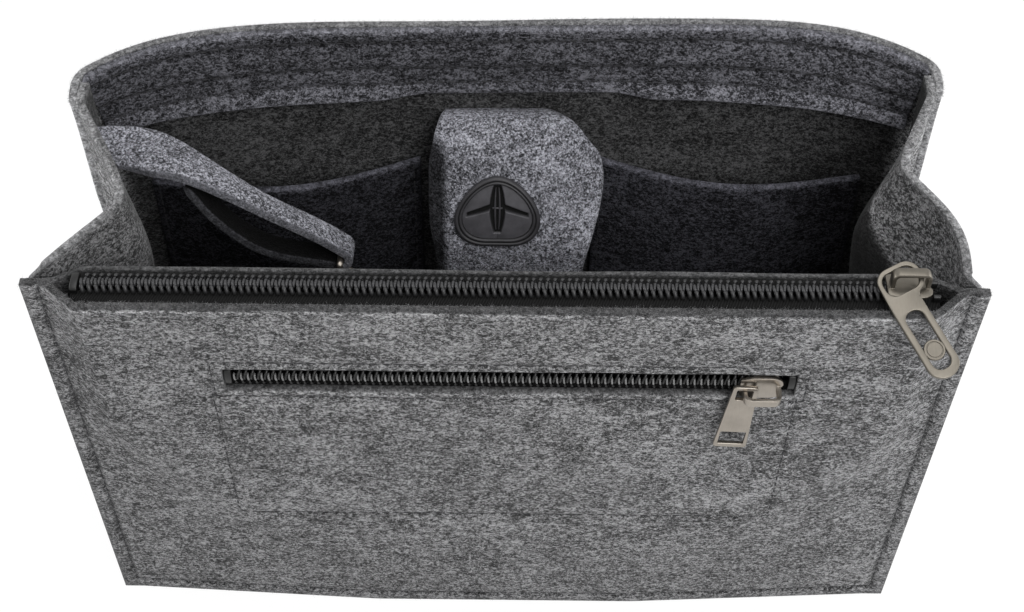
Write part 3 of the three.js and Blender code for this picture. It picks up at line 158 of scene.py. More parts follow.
class Graph(Canvas):
    """The shader tree of one material, or of the world."""

    def __init__(self, name: str, world: bool = False) -> None:
        """Starts an empty tree.

        Args:
            name: The new block's name.
            world: Whether it is a world, not a material.
        """
        self.owner = (bpy.data.worlds if world else bpy.data.materials).new(name)
        self.owner.use_nodes = True
        self.tree = self.owner.node_tree
        self.tree.nodes.clear()

    def signal(self, kind: str, settings: dict | None, sockets: dict, output: str | int = 0) -> Signal:
        """Adds one node and takes one of its outputs."""
        return Signal(self, self.node(kind, settings, sockets).outputs[output])

    def math(self, operation: str, first: Any, second: Any) -> Signal:
        """Adds a Math node."""
        return self.signal("ShaderNodeMath", {"operation": operation}, {0: first, 1: second})

    def coordinates(self, scale: Sequence[float] = (1, 1, 1), turn: Sequence[float] = (0, 0, 0)) -> Signal:
        """Object coordinates, scaled and turned."""
        place = self.node("ShaderNodeTexCoord").outputs["Object"]
        return self.signal("ShaderNodeMapping", None, {"Vector": place, "Scale": scale, "Rotation": turn})

    def noise(
        self, where: Signal, scale: float, detail: float, rough: float = 0.5, swirl: float = 0.0,
    ) -> Signal:
        """A noise value about one half, with its features swirled together."""
        return self.signal("ShaderNodeTexNoise", None, {
            "Vector": where, "Scale": scale, "Detail": detail, "Roughness": rough, "Distortion": swirl,
        })

    def ridge(self, value: Signal, sharpness: float) -> Signal:
        """Thin lines where a noise value passes one half."""
        away = self.math("ABSOLUTE", value - 0.5, 0.0)
        return self.math("MAXIMUM", 1.0 - away * sharpness, 0.0)

    def wave(self, where: Signal, scale: float, direction: str, distortion: float) -> Signal:
        """A value that rises and falls along one direction."""
        settings = {"wave_type": "BANDS", "bands_direction": direction}
        sockets = {"Vector": where, "Scale": scale, "Distortion": distortion}
        return self.signal("ShaderNodeTexWave", settings, sockets, "Fac")

    def attribute(self, name: str) -> Signal:
        """A number that the mesh carries."""
        return self.signal("ShaderNodeAttribute", {"attribute_name": name}, {}, "Fac")

    def ramp(self, value: Signal, tone: Colour, *stops: tuple[float, float]) -> Signal:
        """Turns a value into a colour.

        Args:
            value: The value.
            tone: The main colour.
            stops: The ramp's stops, each a place and a share of the main colour's brightness.

        Returns:
            The colour.
        """
        node = self.node("ShaderNodeValToRGB", None, {"Fac": value})
        elements = node.color_ramp.elements
        while len(elements) < len(stops):
            elements.new(1.0)
        for element, (place, share) in zip(elements, stops):
            element.position = place
            element.color = (*(channel * share for channel in tone), 1.0)
        return Signal(self, node.outputs["Color"])

    def shade(self, colour: Signal, share: Signal) -> Signal:
        """Multiplies a colour by a value."""
        return self.signal("ShaderNodeVectorMath", {"operation": "SCALE"}, {0: colour, "Scale": share})

    def bump(self, height: Signal, depth: float, strength: float) -> Signal:
        """A normal that follows a height, in metres of depth."""
        sockets = {"Height": height, "Distance": depth, "Strength": strength}
        return self.signal("ShaderNodeBump", None, sockets)

    def surface(self, sockets: dict[str, Any]) -> bpy.types.Material:
        """Ends the tree in a Principled shader with these inputs and returns the material."""
        shader = self.node("ShaderNodeBsdfPrincipled", None, sockets)
        self.node("ShaderNodeOutputMaterial", None, {"Surface": shader})
        return self.owner

    def seen(self) -> Signal:
        """One for rays that look: from the camera, or by way of metal or glass."""
        path = self.node("ShaderNodeLightPath").outputs
        mirrored = self.math("MAXIMUM", path["Is Camera Ray"], path["Is Glossy Ray"])
        return self.math("MAXIMUM", mirrored, path["Is Transmission Ray"])


@dataclass(frozen=True)
class Finish:
    """A surface with a name and a main colour."""

    name: str
    tone: Colour


@dataclass(frozen=True)
class FeltFinish(Finish):
    """Heathered felt: dark and light fibres that lie mostly level, with a soft fuzzy face."""

    contrast: float = 1.0
    level: float = 1.5
    fineness: float = 1.0
    sheen: float = 0.1

    def material(self) -> bpy.types.Material:
        """Builds the felt's material, calmer on cut edges; its colour is multiplied by the mesh's tone, which
        holds painted light and shade.
        """
        graph = Graph(self.name)
        lying = graph.coordinates((1.0, 1.0, self.level))
        patch = graph.noise(lying, 55.0, 2.0, 0.6, 0.8)
        clump = graph.noise(lying, 310.0 * self.fineness, 4.0, 0.66, 0.9)
        fleck = graph.noise(lying, 950.0 * self.fineness, 3.0, 0.66, 0.6)
        grain = graph.noise(graph.coordinates(), 2600.0, 1.0)
        hair = graph.ridge(graph.noise(lying, 330.0, 3.0, 0.6, 2.2), 15.0)
        speck = graph.ridge(graph.noise(lying, 420.0, 3.0, 0.65, 1.8), 12.0)
        mixed = (patch - 0.5) * 0.4 + (clump - 0.5) * 1.0 + (fleck - 0.5) * 1.8 + (grain - 0.5) * 0.6
        strength = self.contrast * (1.0 - 0.55 * graph.attribute("calm"))
        value = (mixed + hair * 0.16 - speck * 0.16) * strength + 0.5
        stops = (0.05, 0.12), (0.34, 0.52), (0.54, 1.08), (0.74, 1.8), (1.0, 2.7)
        height = fleck * 0.7 + clump * 0.5 + grain * 0.4 + hair * 0.15
        return graph.surface({
            "Base Color": graph.shade(graph.ramp(value, self.tone, *stops), graph.attribute("tone")),
            "Roughness": 0.86 + fleck * 0.14,
            "Specular IOR Level": 0.08,
            "Sheen Weight": self.sheen,
            "Sheen Roughness": 0.5,
            "Normal": graph.bump(height, 0.0007, 0.7),
        })


@dataclass(frozen=True)
class ThreadFinish(Finish):
    """Twisted sewing thread."""

    def material(self) -> bpy.types.Material:
        """Builds the thread's material."""
        graph = Graph(self.name)
        twist = graph.wave(graph.coordinates((1, 1, 1), (0.5, 0.6, 0.3)), 700.0, "DIAGONAL", 1.0)
        return graph.surface({
            "Base Color": graph.ramp(twist, self.tone, (0.2, 0.5), (0.8, 1.4)),
            "Roughness": 0.6 + twist * 0.2,
            "Normal": graph.bump(twist, 0.0001, 0.6),
        })


@dataclass(frozen=True)
class WeaveFinish(Finish):
    """Woven tape or lining with slanting ribs."""

    ribs: float
    roughness: float = 0.72

    def material(self) -> bpy.types.Material:
        """Builds the weave's material."""
        graph = Graph(self.name)
        slant = graph.wave(graph.coordinates((1, 0.6, 0.6), (0, 0.5, 0.5)), self.ribs, "X", 0.6)
        cross = graph.wave(graph.coordinates(), self.ribs * 1.3, "X", 0.3)
        grain = graph.noise(graph.coordinates(), 1600.0, 2.0)
        rib = slant * 0.7 + cross * 0.3
        stops = (0.15, 0.35), (0.55, 1.0), (0.95, 1.9)
        return graph.surface({
            "Base Color": graph.ramp(rib * 0.7 + grain * 0.4, self.tone, *stops),
            "Roughness": self.roughness + grain * 0.2,
            "Specular IOR Level": 0.12,
            "Normal": graph.bump(rib, 0.00022, 0.8),
        })


@dataclass(frozen=True)
class MouldedFinish(Finish):
    """Moulded plastic or rubber with a fine grain and a little dust."""

    roughness: float
    shaded: bool = False

    def material(self) -> bpy.types.Material:
        """Builds the moulding's material; a shaded one multiplies its colour by the mesh's tone, which holds
        painted shade, and is rougher where that tone is dark.
        """
        graph = Graph(self.name)
        plain = graph.coordinates()
        grain = graph.noise(plain, 1400.0, 2.0)
        dust = graph.noise(plain, 240.0, 3.0, 0.6)
        colour = graph.ramp(dust, self.tone, (0.3, 0.8), (0.7, 1.3))
        rough = self.roughness + (dust - 0.5) * 0.2 + (grain - 0.5) * 0.1
        if self.shaded:
            tone = graph.attribute("tone")
            colour = graph.shade(colour, tone)
            rough = rough + graph.math("MAXIMUM", 0.4 - tone, 0.0)
        return graph.surface({
            "Base Color": colour,
            "Specular IOR Level": 0.35,
            "Roughness": rough,
            "Normal": graph.bump(grain, 0.00005, 0.5),
        })


@dataclass(frozen=True)
class NickelFinish(Finish):
    """Warm satin nickel with fine scratches and duller patches."""

    roughness: float = 0.34

    def material(self) -> bpy.types.Material:
        """Builds the metal's material."""
        graph = Graph(self.name)
        scratch = graph.noise(graph.coordinates((6.0, 0.8, 0.8), (0.2, 0.5, 0.9)), 420.0, 3.0, 0.7)
        patch = graph.noise(graph.coordinates(), 180.0, 2.0)
        return graph.surface({
            "Base Color": graph.ramp(patch * 0.6 + scratch * 0.4, self.tone, (0.3, 0.84), (0.7, 1.12)),
            "Metallic": 1.0,
            "Roughness": self.roughness + (patch - 0.5) * 0.16 + (scratch - 0.5) * 0.12,
            "Normal": graph.bump(scratch, 0.00002, 0.5),
        })


class Look(Enum):
    """Every finish of the organizer, with the material slot that it stands for."""

    FELT = (Slot.FELT, FeltFinish("grey_felt", (0.180, 0.180, 0.184), 1.58))
    BAND = (Slot.FELT, FeltFinish("band_felt", (0.176, 0.176, 0.198), 1.65, sheen=0.04))
    INNER = (Slot.FELT, FeltFinish("inner_felt", (0.049, 0.049, 0.058), 1.75, sheen=0.01))
    LIGHT = (Slot.LIGHT_FELT, FeltFinish("light_felt", (0.206, 0.208, 0.232), 1.4, 1.1, 1.5, 0.02))
    THREAD = (None, ThreadFinish("dark_thread", (0.022, 0.022, 0.025)))
    TAPE = (Slot.TAPE, WeaveFinish("zip_weave", (0.0085, 0.0085, 0.0085), 520.0))
    LINING = (Slot.LINING, WeaveFinish("lining_weave", (0.022, 0.022, 0.024), 900.0))
    COIL = (Slot.COIL, MouldedFinish("coil_nylon", (0.022, 0.022, 0.023), 0.3))
    # A lighter copy of the coil nylon: a painted highlight on the main chain's heads.
    BRIGHT_COIL = (Slot.COIL, MouldedFinish("bright_coil_nylon", (0.034, 0.034, 0.036), 0.26))
    # A much lighter copy of the coil nylon: painted glints on the pocket chain's lower heads.
    GLINTS = (Slot.COIL, MouldedFinish("coil_painted_glints", (0.2, 0.2, 0.2), 0.25))
    # A darker copy of the coil nylon: painted shade on the pocket chain in its slot; the zips' stops share
    # it.
    DARK_COIL = (Slot.COIL, MouldedFinish("dark_coil_nylon", (0.006, 0.006, 0.006), 0.34))
    RUBBER = (Slot.RUBBER, MouldedFinish("port_rubber", (0.040, 0.039, 0.043), 0.5, True))
    FIBRE = (None, ThreadFinish("felt_fibre", (0.30, 0.30, 0.31)))
    NICKEL = (Slot.NICKEL, NickelFinish("satin_nickel", (0.325, 0.294, 0.256)))
    # A darker copy of the satin nickel: painted shade on the main slider and pull.
    SHADED_NICKEL = (Slot.NICKEL, NickelFinish("dull_nickel", (0.160, 0.146, 0.124), 0.38))


class Recipe(Canvas):
    """A Geometry Nodes tree with named inputs."""

    def __init__(self, name: str, inputs: dict[str, str]) -> None:
        """Starts the tree.

        Args:
            name: The tree's name.
            inputs: The values it takes, each with its kind of socket.
        """
        self.tree = bpy.data.node_groups.new(name, "GeometryNodeTree")
        add = self.tree.interface.new_socket
        add("Geometry", in_out="OUTPUT", socket_type="NodeSocketGeometry")
        self.keys = {}
        for key, kind in {"Geometry": "Geometry", **inputs, "Material": "Material"}.items():
            self.keys[key] = add(key, in_out="INPUT", socket_type="NodeSocket" + kind).identifier
        self.given = self.node("NodeGroupInput").outputs

    def end(self, geometry: bpy.types.Node) -> None:
        """Makes instances real, smooths them, gives them their material and ends the tree.

        Args:
            geometry: The node whose geometry ends the tree.
        """
        real = self.node("GeometryNodeRealizeInstances", None, {"Geometry": geometry})
        smooth = self.node("GeometryNodeSetShadeSmooth", None, {"Geometry": real})
        sockets = {"Geometry": smooth, "Material": self.given["Material"]}
        painted = self.node("GeometryNodeSetMaterial", None, sockets)
        self.node("NodeGroupOutput", None, {"Geometry": painted})

    def run(self, piece: Piece, values: dict[str, Any]) -> Piece:
        """Applies the tree to a piece with these inputs and keeps the plain mesh.

        Args:
            piece: The object that holds the geometry input.
            values: The inputs by name.

        Returns:
            The same piece.
        """
        modifier = piece.modifiers.new("recipe", "NODES")
        modifier.node_group = self.tree
        for key, value in values.items():
            modifier[self.keys[key]] = value
        return settle(piece)


class StitchRecipe(Recipe):
    """Stitches laid along a line."""

    SIZES = {"Pitch": 3.4 * MM, "Length": 2.5 * MM, "Thread": 0.55 * MM}

    def __init__(self) -> None:
        """Builds the tree."""
        super().__init__("stitch_run", {key: "Float" for key in self.SIZES})
        line = self.node("GeometryNodeMeshToCurve", None, {"Mesh": self.given["Geometry"]})
        sockets = {"Curve": line, "Length": self.given["Pitch"]}
        spaced = self.node("GeometryNodeResampleCurve", {"mode": "LENGTH"}, sockets)
        tangent = self.node("GeometryNodeInputTangent")
        turn = self.node("FunctionNodeAlignRotationToVector", {"axis": "X"}, {"Vector": tangent})
        bead = self.node("GeometryNodeMeshUVSphere", None, {"Segments": 6, "Rings": 5, "Radius": 0.5})
        thread = self.given["Thread"]
        scale = self.node("ShaderNodeCombineXYZ", None, {"X": self.given["Length"], "Y": thread, "Z": thread})
        stitch = self.node("GeometryNodeTransform", None, {"Geometry": bead, "Scale": scale})
        sockets = {"Points": spaced, "Instance": stitch, "Rotation": turn}
        self.end(self.node("GeometryNodeInstanceOnPoints", None, sockets))


class ToothRecipe(Recipe):
    """Zip teeth at an even pitch along X."""

    def __init__(self) -> None:
        """Builds the tree."""
        super().__init__("tooth_row", {"Count": "Int", "Pitch": "Vector"})
        sockets = {"Count": self.given["Count"], "Offset": self.given["Pitch"]}
        row = self.node("GeometryNodeMeshLine", {"mode": "OFFSET"}, sockets)
        sockets = {"Points": row, "Instance": self.given["Geometry"]}
        self.end(self.node("GeometryNodeInstanceOnPoints", None, sockets))


class FuzzRecipe(Recipe):
    """Loose fibres that stand off a felt surface."""

    SEED = 17
    SIZES = {"Length": 1.3 * MM, "Fibre": 0.028 * MM}

    def __init__(self) -> None:
        """Builds the tree."""
        super().__init__("felt_fuzz", {key: "Float" for key in ("Density", *self.SIZES)})
        sockets = {"Mesh": self.given["Geometry"], "Density": self.given["Density"], "Seed": self.SEED}
        spread = self.node("GeometryNodeDistributePointsOnFaces", None, sockets)
        hair = self.node("GeometryNodeMeshCone", None, {
            "Vertices": 3, "Side Segments": 1, "Radius Top": 0.0,
            "Radius Bottom": self.given["Fibre"], "Depth": self.given["Length"],
        })
        sockets = {"Min": (-1.25, -1.25, -3.0), "Max": (1.25, 1.25, 3.0), "Seed": self.SEED}
        lean = self.node("FunctionNodeRandomValue", {"data_type": "FLOAT_VECTOR"}, sockets)
        turn = self.node("FunctionNodeEulerToRotation", None, {"Euler": lean})
        sockets = {"Rotation": spread.outputs["Rotation"], "Rotate By": turn}
        way = self.node("FunctionNodeRotateRotation", {"rotation_space": "LOCAL"}, sockets)
        sockets = {2: 0.35, 3: 1.2, "Seed": self.SEED + 1}
        size = self.node("FunctionNodeRandomValue", {"data_type": "FLOAT"}, sockets).outputs[1]
        sockets = {"Points": spread, "Instance": hair, "Rotation": way, "Scale": size}
        self.end(self.node("GeometryNodeInstanceOnPoints", None, sockets))


def ease(value: Array | float, low: float, high: float) -> Array:
    """A smooth step from 0 at low to 1 at high."""
    share = np.clip((np.asarray(value, float) - low) / (high - low), 0.0, 1.0)
    return share * share * (3.0 - 2.0 * share)


def between(low: Array | float, high: Array | float, share: Array | float) -> Array:
    """The value at a share of the way from low to high."""
    return low + (high - low) * share


def xyz(x: Array | float, y: Array | float, z: Array | float) -> Array:
    """Points from their three coordinates."""
    return np.stack(np.broadcast_arrays(x, y, z), -1)


def stations(low: float, high: float, step: float, lines: Sequence[float] = ()) -> Array:
    """Places along one direction, closer together round given lines.

    Args:
        low: The first place.
        high: The last place.
        step: The plain spacing.
        lines: Places that get a station of their own with close ones round it.

    Returns:
        The places in order.
    """
    fine, reach = 0.45, 1.8
    wanted = list(np.linspace(low, high, max(2, round((high - low) / step) + 1)))
    for line in lines:
        wanted.extend(np.arange(line - reach, line + reach + fine / 2, fine))
    kept = sorted(place for place in (low, high, *lines) if low <= place <= high)
    for place in sorted(wanted):
        if low < place < high and min(abs(place - other) for other in kept) > 0.6 * fine:
            kept.append(place)
    return np.array(sorted(set(kept)))


def ripple(across: Array, up: Array, seed: int, size: float) -> Array:
    """A soft unevenness between -1 and 1 with features of one size.

    Args:
        across: Places across.
        up: Places up.
        seed: The seed of its waves.
        size: The size of its features.

    Returns:
        The unevenness at each place.
    """
    rng = np.random.default_rng(seed)
    total = np.zeros(np.broadcast(across, up).shape)
    waves = 7
    for _ in range(waves):
        turn = rng.uniform(0.0, 2.0 * math.pi)
        pace = rng.uniform(0.6, 1.5) * 2.0 * math.pi / size
        phase = rng.uniform(0.0, 2.0 * math.pi)
        total += np.sin(pace * (math.cos(turn) * across + math.sin(turn) * up) + phase)
    return total / waves


def groove(distance: Array, depth: float, width: float) -> Array:
    """The depth of a sewn groove at a distance from its line."""
    return depth * np.exp(-((distance / width) ** 2))


def grid_normals(grid: Array) -> Array:
    """Unit normals of a grid of points."""
    normals = np.cross(np.gradient(grid, axis=1), np.gradient(grid, axis=0))
    return normals / np.maximum(np.linalg.norm(normals, axis=2, keepdims=True), 1e-9)


def unit(vectors: Array) -> Array:
    """Vectors brought to a length of one."""
    return vectors / np.linalg.norm(vectors, axis=-1, keepdims=True)


def smoothed(line: Array, passes: int) -> Array:
    """A line of points with its corners eased and its ends kept.

    Args:
        line: The line's points.
        passes: How often it is eased.

    Returns:
        The eased line.
    """
    line = line.copy()
    for _ in range(passes):
        line[1:-1] = 0.25 * line[:-2] + 0.5 * line[1:-1] + 0.25 * line[2:]
    return line


def lengths(points: Array) -> Array:
    """The distance along a line of points, at each of them."""
    return np.concatenate([[0.0], np.cumsum(np.linalg.norm(np.diff(points, axis=0), axis=1))])


def along(points: Array, count: int) -> Array:
    """A line of points resampled to equal steps."""
    length = lengths(points)
    places = np.linspace(0.0, length[-1], count)
    return np.stack([np.interp(places, length, column) for column in points.T], 1)


def spline(points: Sequence[Sequence[float]], steps: int) -> Array:
    """A centripetal curve through points, as three.js draws it.

    Args:
        points: The points to pass through.
        steps: Points made for each span.

    Returns:
        The curve's points; point k * steps lies on point k.
    """
    given = np.array(points, float)
    ends = np.vstack([2 * given[0] - given[1], given, 2 * given[-1] - given[-2]])
    line = []
    for k in range(len(given) - 1):
        p0, p1, p2, p3 = ends[k:k + 4]
        d0, d1, d2 = (max(np.sum((b - a) ** 2) ** 0.25, 1e-4) for a, b in ((p0, p1), (p1, p2), (p2, p3)))
        t1 = ((p1 - p0) / d0 - (p2 - p0) / (d0 + d1) + (p2 - p1) / d1) * d1
        t2 = ((p2 - p1) / d1 - (p3 - p1) / (d1 + d2) + (p3 - p2) / d2) * d1
        square, cube = -3 * p1 + 3 * p2 - 2 * t1 - t2, 2 * p1 - 2 * p2 + t1 + t2
        line.extend(p1 + t1 * s + square * s ** 2 + cube * s ** 3 for s in np.arange(steps) / steps)
    return np.array([*line, given[-1]])


def linked(name: str, data: Any) -> Piece:
    """A new object in the scene."""
    piece = bpy.data.objects.new(name, data)
    bpy.context.scene.collection.objects.link(piece)
    return piece


def make_object(name: str, points: Array, faces: Sequence[Sequence[int]]) -> Piece:
    """A smooth mesh object from points in millimetres.

    Args:
        name: The object's name.
        points: Its points.
        faces: Its faces, each a run of point numbers.

    Returns:
        The object.
    """
    mesh = bpy.data.meshes.new(name)
    mesh.from_pydata((np.asarray(points) * MM).tolist(), [], [list(face) for face in faces])
    mesh.validate()
    mesh.shade_smooth()
    return linked(name, mesh)


def evaluated(piece: Piece) -> bpy.types.Mesh:
    """An object's plain mesh with its modifiers applied."""
    return bpy.data.meshes.new_from_object(piece.evaluated_get(bpy.context.evaluated_depsgraph_get()))


def settle(piece: Piece) -> Piece:
    """Turns a piece's modifiers into plain mesh.

    Args:
        piece: The piece with its modifiers.

    Returns:
        The same piece.
    """
    mesh, old = evaluated(piece), piece.data
    piece.modifiers.clear()
    piece.data = mesh
    bpy.data.meshes.remove(old)
    mesh.name = piece.name
    return piece


def rounded(piece: Piece, width: float, parts: int = 3, angle: float = 50) -> Piece:
    """Rounds a piece's sharp edges by a width in millimetres.

    Args:
        piece: The piece.
        width: The rounding's width.
        parts: Faces across the rounding.
        angle: The least angle of an edge that is rounded, in degrees.

    Returns:
        The same piece.
    """
    bevel = piece.modifiers.new("rounding", "BEVEL")
    bevel.width = width * MM
    bevel.segments = parts
    bevel.limit_method = "ANGLE"
    bevel.angle_limit = math.radians(angle)
    bevel.use_clamp_overlap = True
    settle(piece)
    piece.data.shade_smooth()
    return piece


@contextmanager
def edited(piece: Piece) -> Iterator[bmesh.types.BMesh]:
    """A piece's mesh, open for edits that are kept."""
    work = bmesh.new()
    work.from_mesh(piece.data)
    yield work
    work.to_mesh(piece.data)
    work.free()


def outward(piece: Piece) -> Piece:
    """Merges doubles and turns every face outwards.

    Args:
        piece: The piece.

    Returns:
        The same piece.
    """
    with edited(piece) as work:
        bmesh.ops.remove_doubles(work, verts=work.verts, dist=1e-7)
        bmesh.ops.dissolve_degenerate(work, edges=work.edges, dist=1e-7)
        bmesh.ops.recalc_face_normals(work, faces=work.faces)
    return piece


def paint(piece: Piece, **layers: Array) -> Piece:
    """Gives a piece's points one number by each name, for its shader.

    Args:
        piece: The piece.
        layers: The numbers of each layer.

    Returns:
        The same piece.
    """
    for key, values in layers.items():
        layer = piece.data.attributes.new(key, "FLOAT", "POINT")
        layer.data.foreach_set("value", values.astype(np.float32))
    return piece


def shell(near: Array, far: Array, cells: Array) -> tuple[Array, Array, Array, Array]:
    """Closes two grids of points over the cells that stay.

    Args:
        near: One face, rows by columns.
        far: The other face.
        cells: Which cells stay.

    Returns:
        The points, the faces, the points' places in the two grids, and a one for those on an edge.
    """
    rows, columns = near.shape[:2]
    count = rows * columns
    index = np.arange(count).reshape(rows, columns)
    a, b, c, d = index[:-1, :-1], index[:-1, 1:], index[1:, 1:], index[1:, :-1]
    faces = [np.stack([a, b, c, d], -1)[cells], np.stack([d, c, b, a], -1)[cells] + count]
    ring = np.pad(cells, 1)
    cut = np.zeros(2 * count)
    for up, right, p, q in ((-1, 0, a, b), (0, 1, b, c), (1, 0, c, d), (0, -1, d, a)):
        edge = cells & ~ring[1 + up:rows + up, 1 + right:columns + right]
        p, q = p[edge], q[edge]
        faces.append(np.stack([q, p, p + count, q + count], -1))
        cut[faces[-1]] = 1.0
    quads = np.concatenate(faces)
    used, compact = np.unique(quads, return_inverse=True)
    points = np.concatenate([near.reshape(-1, 3), far.reshape(-1, 3)])
    return points[used], compact.reshape(quads.shape), used, cut[used]


def laminate(
    name: str,
    near: Array,
    far: Array,
    tones: tuple[Array | float, Array | float] = (1.0, 1.0),
    rounding: float = 0.7,
    cells: Array | None = None,
) -> Piece:
    """Closes two grids of points into one sheet with rounded edges.

    Args:
        name: The piece's name.
        near: One face, rows by columns.
        far: The other face.
        tones: The brightness of the two faces, one value each or one per point: painted light and shade.
        rounding: The width of the edges' rounding.
        cells: The cells that stay, where the sheet has a hole.

    Returns:
        The sheet.
    """
    grid = near.shape[:2]
    if cells is None:
        cells = np.ones((grid[0] - 1, grid[1] - 1), bool)
    points, faces, used, calm = shell(near, far, cells)
    tone = np.concatenate([np.broadcast_to(value, grid).ravel() for value in tones])
    piece = paint(make_object(name, points, faces), tone=tone[used], calm=calm)
    return rounded(outward(piece), rounding)


def strip(rows: int, sides: int, closed: bool = False) -> list[tuple[int, ...]]:
    """The faces between rings of points.

    Args:
        rows: The number of rings.
        sides: Points in each ring.
        closed: Whether the last ring joins the first.

    Returns:
        The faces.
    """
    faces = []
    for k in range(rows if closed else rows - 1):
        row, after = k * sides, (k + 1) % rows * sides
        for i in range(sides):
            n = (i + 1) % sides
            faces.append((row + i, row + n, after + n, after + i))
    return faces


def tube(path: Array, radius: Array | float, sides: int = 14, closed: bool = False) -> Shape:
    """A round tube along a line.

    Args:
        path: The line's points.
        radius: One radius, or one per point.
        sides: Points round the section.
        closed: Whether the line runs back to its start.

    Returns:
        The points and faces.
    """
    count = len(path)
    radii = np.broadcast_to(radius, (count,))
    ahead = np.roll(path, -1, 0) - np.roll(path, 1, 0) if closed else np.gradient(path, axis=0)
    tangents = unit(ahead)
    side = np.cross(tangents[0], (0.31, 0.52, 0.79))
    angles = np.arange(sides) * 2 * math.pi / sides
    points = []
    for at, tangent, thick in zip(path, tangents, radii):
        side = unit(side - tangent * np.dot(side, tangent))
        ring = np.outer(np.cos(angles), side) + np.outer(np.sin(angles), np.cross(tangent, side))
        points.append(at + thick * ring)
    faces = strip(count, sides, closed)
    if not closed:
        faces += [tuple(range(sides))[::-1], tuple(range((count - 1) * sides, count * sides))]
    return np.concatenate(points), faces


def capped(path: Array, radius: float) -> Shape:
    """A tube with round ends, which reach about half a radius past the line.

    Args:
        path: The line's points.
        radius: The tube's radius.

    Returns:
        The points and faces.
    """
    bulge = ((0.3, 0.9), (0.48, 0.6), (0.55, 0.22))
    head = [path[0] + unit(path[0] - path[1]) * radius * out for out, _ in bulge[::-1]]
    tail = [path[-1] + unit(path[-1] - path[-2]) * radius * out for out, _ in bulge]
    ends = [radius * share for _, share in bulge]
    return tube(np.concatenate([head, path, tail]), np.array([*ends[::-1], *[radius] * len(path), *ends]))


def revolve(profile: Sequence[tuple[float, float]], sides: int = 32) -> Shape:
    """A shape turned about Z from a profile of radius and height that starts and ends on the axis."""
    angles = np.arange(sides) * 2 * math.pi / sides
    points = [(r * math.cos(t), r * math.sin(t), z) for r, z in profile for t in angles]
    return np.array(points), strip(len(profile), sides)


def joined(*shapes: Shape) -> Shape:
    """Several shapes as one list of points and faces."""
    points, faces, start = [], [], 0
    for some, quads in shapes:
        points.append(some)
        faces.extend(tuple(k + start for k in face) for face in quads)
        start += len(some)
    return np.concatenate(points), faces


def rounded_box(width: float, height: float, radius: float, x: float = 0.0, y: float = 0.0) -> Array:
    """The outline of a rectangle with round corners, about a point.

    Args:
        width: Its width.
        height: Its height.
        radius: The radius of its corners.
        x: The point's place across.
        y: The point's place up.

    Returns:
        The outline's points.
    """
    outline = []
    for k, (across, up) in enumerate(((1, 1), (-1, 1), (-1, -1), (1, -1))):
        for angle in np.linspace(k * math.pi / 2, (k + 1) * math.pi / 2, 9):
            outline.append((
                x + across * (width / 2 - radius) + radius * math.cos(angle),
                y + up * (height / 2 - radius) + radius * math.sin(angle),
            ))
    return np.roll(outline, 18, 0)


def plate(name: str, outlines: Sequence[Array], thickness: float, edge: float) -> Piece:
    """A flat plate with holes and softened edges, about the XY plane.

    Args:
        name: The piece's name.
        outlines: Its outer outline, then its holes.
        thickness: Its thickness.
        edge: The rounding of its edges.

    Returns:
        The plate.
    """
    curve = bpy.data.curves.new(name, "CURVE")
    curve.dimensions = "2D"
    curve.fill_mode = "BOTH"
    curve.extrude = (thickness / 2 - edge) * MM
    curve.bevel_depth = edge * MM
    curve.bevel_resolution = 3
    curve.offset = -edge * MM
    for outline in outlines:
        line = curve.splines.new("POLY")
        line.points.add(len(outline) - 1)
        flat = np.column_stack([outline * MM, np.zeros(len(outline)), np.ones(len(outline))])
        line.points.foreach_set("co", flat.ravel())
        line.use_cyclic_u = True
    holder = linked(name + "_outline", curve)
    mesh = evaluated(holder)
    bpy.data.objects.remove(holder)
    bpy.data.curves.remove(curve)
    piece = outward(linked(name, mesh))
    mesh.shade_smooth()
    mesh.set_sharp_from_angle(angle=math.radians(40))
    return piece


def inside_outline(outline: Array, x: Array, y: Array) -> Array:
    """Whether points lie inside a closed outline.

    Args:
        outline: The outline's points in order.
        x: The points' places across.
        y: The points' places up.

    Returns:
        True for each point inside.
    """
    hit = np.zeros(x.shape, bool)
    for (x0, y0), (x1, y1) in zip(outline, np.roll(outline, -1, 0)):
        if y0 != y1:
            hit ^= ((y0 > y) != (y1 > y)) & (x < (x1 - x0) * (y - y0) / (y1 - y0) + x0)
    return hit


def moved(points: Array, matrix: Matrix) -> Array:
    """Points carried by a matrix."""
    turn = np.array(matrix)
    return points @ turn[:3, :3].T + turn[:3, 3]


def metric(matrix: Matrix) -> Matrix:
    """A matrix in millimetres as one in metres."""
    result = matrix.copy()
    result.translation = matrix.translation * MM
    return result


